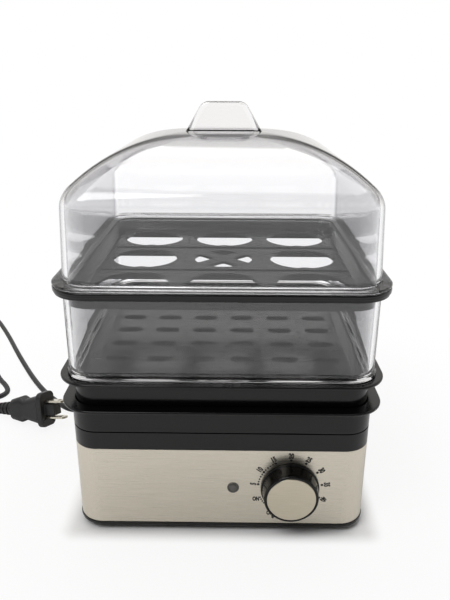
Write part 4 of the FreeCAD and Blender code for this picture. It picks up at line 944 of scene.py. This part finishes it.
class EGGBOILER_OT_lower_bowl(bpy.types.Operator):
    """Models the black bowl on the collar, with a low tower in its floor that lets the steam up"""
    bl_idname = "eggboiler.lower_bowl"
    bl_label = "Lower bowl"

    def execute(self, context):
        top = BOWL_TOP
        floor, under = top - 14.4 * MM, top - 16.4 * MM
        lip, lip_inside, wall_inside = 2.3, 4.1, 2.0
        profile = soft_profile([
            at(lip_inside, under), at(lip_inside, BOWL_LOW), at(lip, BOWL_LOW), at(lip, under), at(0, under, 0.8),
            at(0, top - 2 * MM, 0.6), at(FLANGE, top - 2 * MM, 0.9), at(FLANGE, top, 0.9), at(wall_inside, top),
            at(wall_inside, floor)], sizes().edge_round)
        bowl = square_profile(profile)
        radius, wall, high = 26.0, 2.0, 7.0
        crest = floor + high * MM
        tower = turned(soft_turning([(radius * MM, floor - MM), (radius * MM, crest, 1.2 * MM),
                                              ((radius - 3) * MM, crest)], 1.2 * MM), (0, MIDDLE_Y), 2)
        cut(bowl, tower, "UNION")
        hollow = [((radius - wall) * MM, under - MM), ((radius - wall) * MM, crest - wall * MM)]
        cut(bowl, turned(hollow, (0, MIDDLE_Y), 2))
        long, wide, away = 12.0, 3.0, 15.0
        slots = [slot_outline(long, wide, away * cos(a), away * sin(a), a)
                 for a in (2 * pi * n / 10 for n in range(10))]
        cutters = [flat_plate([slot], crest - 2 * wall * MM, crest + MM, 0.0) for slot in slots]
        cut(bowl, joined(cutters))
        finish_piece(bowl, "drip_bowl", "black_abs", "lower_bowl", ["lower_bowl"], 40.0)
        return {"FINISHED"}


class EGGBOILER_OT_base(bpy.types.Operator):
    """Finishes the base: collar and basin, steel wrap, pan and feet"""
    bl_idname = "eggboiler.base"
    bl_label = "Base"

    def execute(self, context):
        dressed_copy("upper_housing", "collar_and_basin", "black_abs", "base", sizes().edge_round)
        thick = sizes().band_wall
        sheet = thick / MM
        profile = soft_profile([
            at(sheet, BAND_LOW), at(0, BAND_LOW, 0.4), at(0, BAND_TOP, 0.25), at(sheet, BAND_TOP),
            at(sheet, BAND_LOW)], 0.1 * MM)
        wrap = square_profile(profile)
        front, back = FRONT_Y, FRONT_Y + 2 * BODY_HALF
        bushing, lamp, screw, cord = 4.7, 3.55, 1.8, 5.2
        screw_away = 11 * MM
        holes = [(KNOB_X, KNOB_Z, bushing, front), (LAMP_X, LAMP_Z, lamp, front),
                 (KNOB_X - screw_away, KNOB_Z, screw, front), (KNOB_X + screw_away, KNOB_Z, screw, front),
                 (CORD_OUT[0][0] * MM, CORD_OUT[0][2] * MM, cord, back)]
        for x, z, radius, face in holes:
            ends = (face - 2 * thick, face + 2 * thick)
            cut(wrap, turned([(radius * MM, end) for end in ends], (x, z), 1))
        finish_piece(wrap, "steel_wrap", "stainless", "base", ["steel_band"], 40.0)
        dressed_copy("base_pan", "floor_pan", "black_abs", "base", 0.3 * MM)
        dressed_copy("rubber_feet", "feet", "rubber", "base")
        return {"FINISHED"}


class EGGBOILER_OT_knob(bpy.types.Operator):
    """Makes the timer knob with its metal face, and the lamp's lens beside it"""
    bl_idname = "eggboiler.knob"
    bl_label = "Timer knob and lamp"

    def execute(self, context):
        dressed_copy("knob", "knob_skirt", "gloss_abs", "knob", 0.35 * MM)
        rim, front, back = (LENS_HIGH[0] - LENS_LOW[0]) / 2, LENS_LOW[1], LENS_HIGH[1]
        profile = soft_turning([
            (rim, back), (rim, front + 0.3 * MM, 0.3 * MM), (0.82 * rim, front + 0.2 * MM, 0.3 * MM),
            (0.76 * rim, front + 0.8 * MM), (0.6 * rim, front + 0.25 * MM, 0.9 * MM), (0.1 * rim, front)],
            0.1 * MM)
        lens = turned(profile, (LAMP_X, LAMP_Z), 1, 48)
        finish_piece(lens, "lamp_button", "lens", "base", ["lamp_lens"], 50.0)
        dressed_copy("knob_face", "knob_disc", "aluminium", "knob", 0.1 * MM)
        dressed_copy("timer_shaft", "shaft", "zinc", "knob")
        return {"FINISHED"}


# The dial's print, as angles round the knob in degrees, from the right and against the clock.
DIAL_STEP = 28
MINUTES = [(str(5 * n), 201 - DIAL_STEP * n) for n in range(1, 9)]
WORDS = [("ON", 202), ("OFF", 238)]
BIG_DOTS = [angle for text, angle in MINUTES]
SMALL_DOTS = [start + DIAL_STEP / 5 * n for start in (145, 117) for n in range(1, 5)] + [
    201.6 + 4.7 * n for n in range(5)]
TEXT_RING, DOT_RING = 21.7, 18.9    # radii in millimetres
DIAL_RISE, DIAL_TURN = 0.5, 1.0     # the print sits a little above the knob's middle and is turned a little
BIG_DOT, SMALL_DOT = 0.8, 0.55
INK_THICK = 0.02
CAPITALS = 0.7                      # height of a capital or a digit in type of size 1


class EGGBOILER_OT_dial(bpy.types.Operator):
    """Prints the plain numbers and dots round the knob"""
    bl_idname = "eggboiler.dial"
    bl_label = "Dial print"

    def execute(self, context):
        marks = []
        for text, angle in MINUTES + WORDS:
            word = (text, angle) in WORDS
            label = printed(text, sizes().numeral / CAPITALS * (0.8 if word else 1.0))
            place_on_front(label, angle, TEXT_RING * MM, 0 if word else angle - 90)
            marks.append(label)
        thin = INK_THICK * MM
        for ring, radius in ((BIG_DOTS, BIG_DOT), (SMALL_DOTS, SMALL_DOT)):
            for angle in ring:
                dot = flat_plate([circle_outline(radius)], -thin, thin, thin / 2)
                dot.location = (0, -MIDDLE_Y, 0)
                bpy.ops.object.transform_apply(location=True)
                place_on_front(dot, angle, DOT_RING * MM, 0)
                marks.append(dot)
        print_ink = joined(marks)
        finish_piece(print_ink, "dial_print", "ink", "base")
        return {"FINISHED"}


def printed(text, size):
    """A word or a number as narrow, bold, flat letters, centred where they stand."""
    deselect()
    bpy.ops.object.text_add(location=(0, 0, 0))
    label = bpy.context.object
    settings = {"body": text, "size": size, "align_x": "CENTER", "align_y": "CENTER", "extrude": 0.2 * MM,
                "offset": 0.26 * MM, "resolution_u": 3}
    for name, value in settings.items():
        setattr(label.data, name, value)
    bpy.ops.object.convert(target="MESH")
    label = bpy.context.object
    narrow, flat = 0.66, 0.1
    label.scale = (narrow, 1.0, flat)
    bpy.ops.object.transform_apply(scale=True)
    close_piece(label, 2, [])
    return label


def place_on_front(piece, angle, radius, turn):
    """Puts a flat piece on the steel front, at an angle and radius round the knob, turned by turn degrees."""
    around = radians(angle + DIAL_TURN)
    spot = Vector((KNOB_X + radius * cos(around), FRONT_Y - INK_THICK * MM,
                   KNOB_Z + DIAL_RISE * MM + radius * sin(around)))
    piece.matrix_world = (Matrix.Translation(spot) @ Matrix.Rotation(radians(-turn), 4, "Y")
                          @ Matrix.Rotation(pi / 2, 4, "X"))
    bpy.ops.object.transform_apply(location=True, rotation=True, scale=True)


class EGGBOILER_OT_inside(bpy.types.Operator):
    """Finishes the pieces inside the base and the lamp"""
    bl_idname = "eggboiler.inside"
    bl_label = "Inner pieces"

    def execute(self, context):
        finishes = {
            "lamp_holder": "black_abs", "neon_lamp": "glass", "base_screws": "zinc",
            "heater_plate": "plate", "plate_seal": "silicone", "heater_clamp": "zinc", "heater_nuts": "zinc",
            "heating_element": "sheath", "thermostat": "phenolic", "thermostat_strap": "zinc",
            "strap_screws": "zinc", "thermal_fuse": "nylon", "timer_plate": "zinc", "timer_case": "nylon",
            "timer_bell": "brass", "timer_tabs": "brass", "timer_screws": "zinc", "inner_lead": "vinyl",
            "terminal_block": "nylon", "clamp_bridge": "nylon", "clamp_screws": "zinc", "inner_wires": "wire"}
        for name, finish in finishes.items():
            dressed_copy(name, "fitted_" + name, finish, "base")
        return {"FINISHED"}


class EGGBOILER_OT_stage(bpy.types.Operator):
    """Sets the white floor, the soft lamps and the pale surroundings"""
    bl_idname = "eggboiler.stage"
    bl_label = "Studio"

    def execute(self, context):
        context.scene.view_settings.view_transform = "Standard"
        deselect()
        bpy.ops.mesh.primitive_plane_add(size=6.0, location=(0, 0, -0.2 * MM))
        floor = context.object
        floor.name = "floor"
        floor.data.materials.append(worktop_white())
        context.scene.world = pale_room()
        lamps = [("key", (-0.5, -0.6, 1.2), 0.7, 7.0), ("top", (0.1, 0.3, 1.3), 1.2, 7.0)]
        for name, spot, size, power in lamps:
            deselect()
            aim = (Vector((0, 0, 0.1)) - Vector(spot)).to_track_quat("-Z", "Y").to_euler()
            bpy.ops.object.light_add(type="AREA", location=spot, rotation=aim)
            lamp = context.object
            lamp.name = name + "_softbox"
            lamp.data.shape = "SQUARE"
            lamp.data.size = size
            lamp.data.energy = power
        return {"FINISHED"}


# What share of the worktop glows white, by metres outside the base's plan: start, end and share at the start.
CLOSE_SHADOW = (0.0, 0.013, 0.0)
WIDE_SHADOW = (0.03, 0.2, 0.87)
IN_MIRRORS = (0.2, 0.7, 0.0)
# How bright the room is, by the upward part of the direction: a dim wall, a bright band and a soft ceiling.
ROOM_STOPS = ((0.2, 0.3), (0.3, 0.3), (0.38, 0.95), (0.5, 0.95), (0.8, 0.45))


def worktop_white():
    """Matt white laminate that fades to pure white away from the object's soft shadow."""
    made, tree, shader = new_material("White worktop")
    feed(shader, Base_Color=linear("f5f5f5"), Roughness=0.6)
    away, socket = node(tree, "ShaderNodeTexCoord"), "Object"
    nothing = (0, 0, 0)
    for operation, value in (("SUBTRACT", (0, MIDDLE_Y, 0)), ("ABSOLUTE", nothing),
                             ("SUBTRACT", (BODY_HALF, BODY_HALF, 0)), ("MAXIMUM", nothing), ("LENGTH", nothing)):
        away = node(tree, "ShaderNodeVectorMath", away.outputs[socket], value, operation=operation)
        socket = "Vector"
    close, wide, mirrored = (
        node(tree, "ShaderNodeMapRange", Value=away.outputs["Value"], From_Min=start, From_Max=end, To_Min=share,
             To_Max=1.0, interpolation_type="SMOOTHSTEP")
        for start, end, share in (CLOSE_SHADOW, WIDE_SHADOW, IN_MIRRORS))
    ray = node(tree, "ShaderNodeLightPath").outputs
    direct = node(tree, "ShaderNodeMath", ray["Is Camera Ray"], ray["Is Transmission Ray"], operation="MAXIMUM")
    fade = node(tree, "ShaderNodeMath", close, wide, operation="MULTIPLY")
    seen = node(tree, "ShaderNodeMath", direct, fade, operation="MULTIPLY")
    mirrored = node(tree, "ShaderNodeMath", ray["Is Glossy Ray"], mirrored, operation="MULTIPLY")
    weight = node(tree, "ShaderNodeMath", seen, mirrored, operation="MAXIMUM")
    glow = node(tree, "ShaderNodeEmission", Color=(1, 1, 1, 1), Strength=1.0)
    mix = node(tree, "ShaderNodeMixShader", weight, shader, glow)
    feed(tree.nodes["Material Output"], Surface=mix)
    return made


def pale_room():
    """White behind the object, and round it a room that is darker in front and has a bright band above."""
    world = bpy.data.worlds.new("Pale room")
    world.use_nodes = True
    tree = world.node_tree
    backdrop = feed(tree.nodes["Background"], Color=(1, 1, 1, 1), Strength=1.0)
    ray = node(tree, "ShaderNodeLightPath").outputs
    place = node(tree, "ShaderNodeTexCoord")
    split = node(tree, "ShaderNodeSeparateXYZ", place.outputs["Generated"]).outputs
    front = node(tree, "ShaderNodeMapRange", Value=split["Y"], From_Min=-0.6, From_Max=0.2, To_Min=0.16,
                 To_Max=1.0, interpolation_type="SMOOTHSTEP")
    around = node(tree, "ShaderNodeMath", front, ray["Is Transmission Ray"], operation="MAXIMUM")
    above = node(tree, "ShaderNodeValToRGB", split["Z"])
    stops = above.color_ramp.elements
    stops[0].color = stops[1].color = (1, 1, 1, 1)
    stops[1].position = 0.12
    for height, share in ROOM_STOPS:
        stops.new(height).color = (share, share, share, 1)
    level = node(tree, "ShaderNodeMath", around, above, operation="MULTIPLY")
    room = node(tree, "ShaderNodeBackground", Strength=level, Color=(1, 0.985, 0.96, 1))
    mix = node(tree, "ShaderNodeMixShader", ray["Is Camera Ray"], room, backdrop)
    feed(tree.nodes["World Output"], Surface=mix)
    return world


class EGGBOILER_PT_panel(bpy.types.Panel):
    """Sizes, colours and pieces of the egg boiler"""
    bl_idname = "EGGBOILER_PT_panel"
    bl_label = "Egg boiler"
    bl_space_type = "VIEW_3D"
    bl_region_type = "UI"
    bl_category = "Egg boiler"

    def draw(self, context):
        column = self.layout.column()
        for group in (context.scene.egg_boiler_sizes, context.scene.egg_boiler_colours):
            for name in group.bl_rna.properties.keys():
                if name not in ("rna_type", "name"):
                    column.prop(group, name)
        for piece in PIECES:
            column.operator(piece.bl_idname)


PIECES = (EGGBOILER_OT_camera, EGGBOILER_OT_cord, EGGBOILER_OT_lid, EGGBOILER_OT_egg_tray,
          EGGBOILER_OT_tier_ring, EGGBOILER_OT_steam_tray, EGGBOILER_OT_lower_bowl, EGGBOILER_OT_base,
          EGGBOILER_OT_knob, EGGBOILER_OT_dial, EGGBOILER_OT_inside, EGGBOILER_OT_stage)
CLASSES = (EggBoilerSizes, EggBoilerColours) + PIECES + (EGGBOILER_PT_panel,)


def register():
    for kind in CLASSES:
        bpy.utils.register_class(kind)
    bpy.types.Scene.egg_boiler_sizes = PointerProperty(type=EggBoilerSizes)
    bpy.types.Scene.egg_boiler_colours = PointerProperty(type=EggBoilerColours)


def unregister():
    del bpy.types.Scene.egg_boiler_colours
    del bpy.types.Scene.egg_boiler_sizes
    for kind in reversed(CLASSES):
        bpy.utils.unregister_class(kind)


def main():
    register()
    make_materials(bpy.context.scene.egg_boiler_colours)
    for piece in PIECES:
        getattr(bpy.ops.eggboiler, piece.bl_idname.split(".")[1])()


if __name__ == "__main__":
    main()
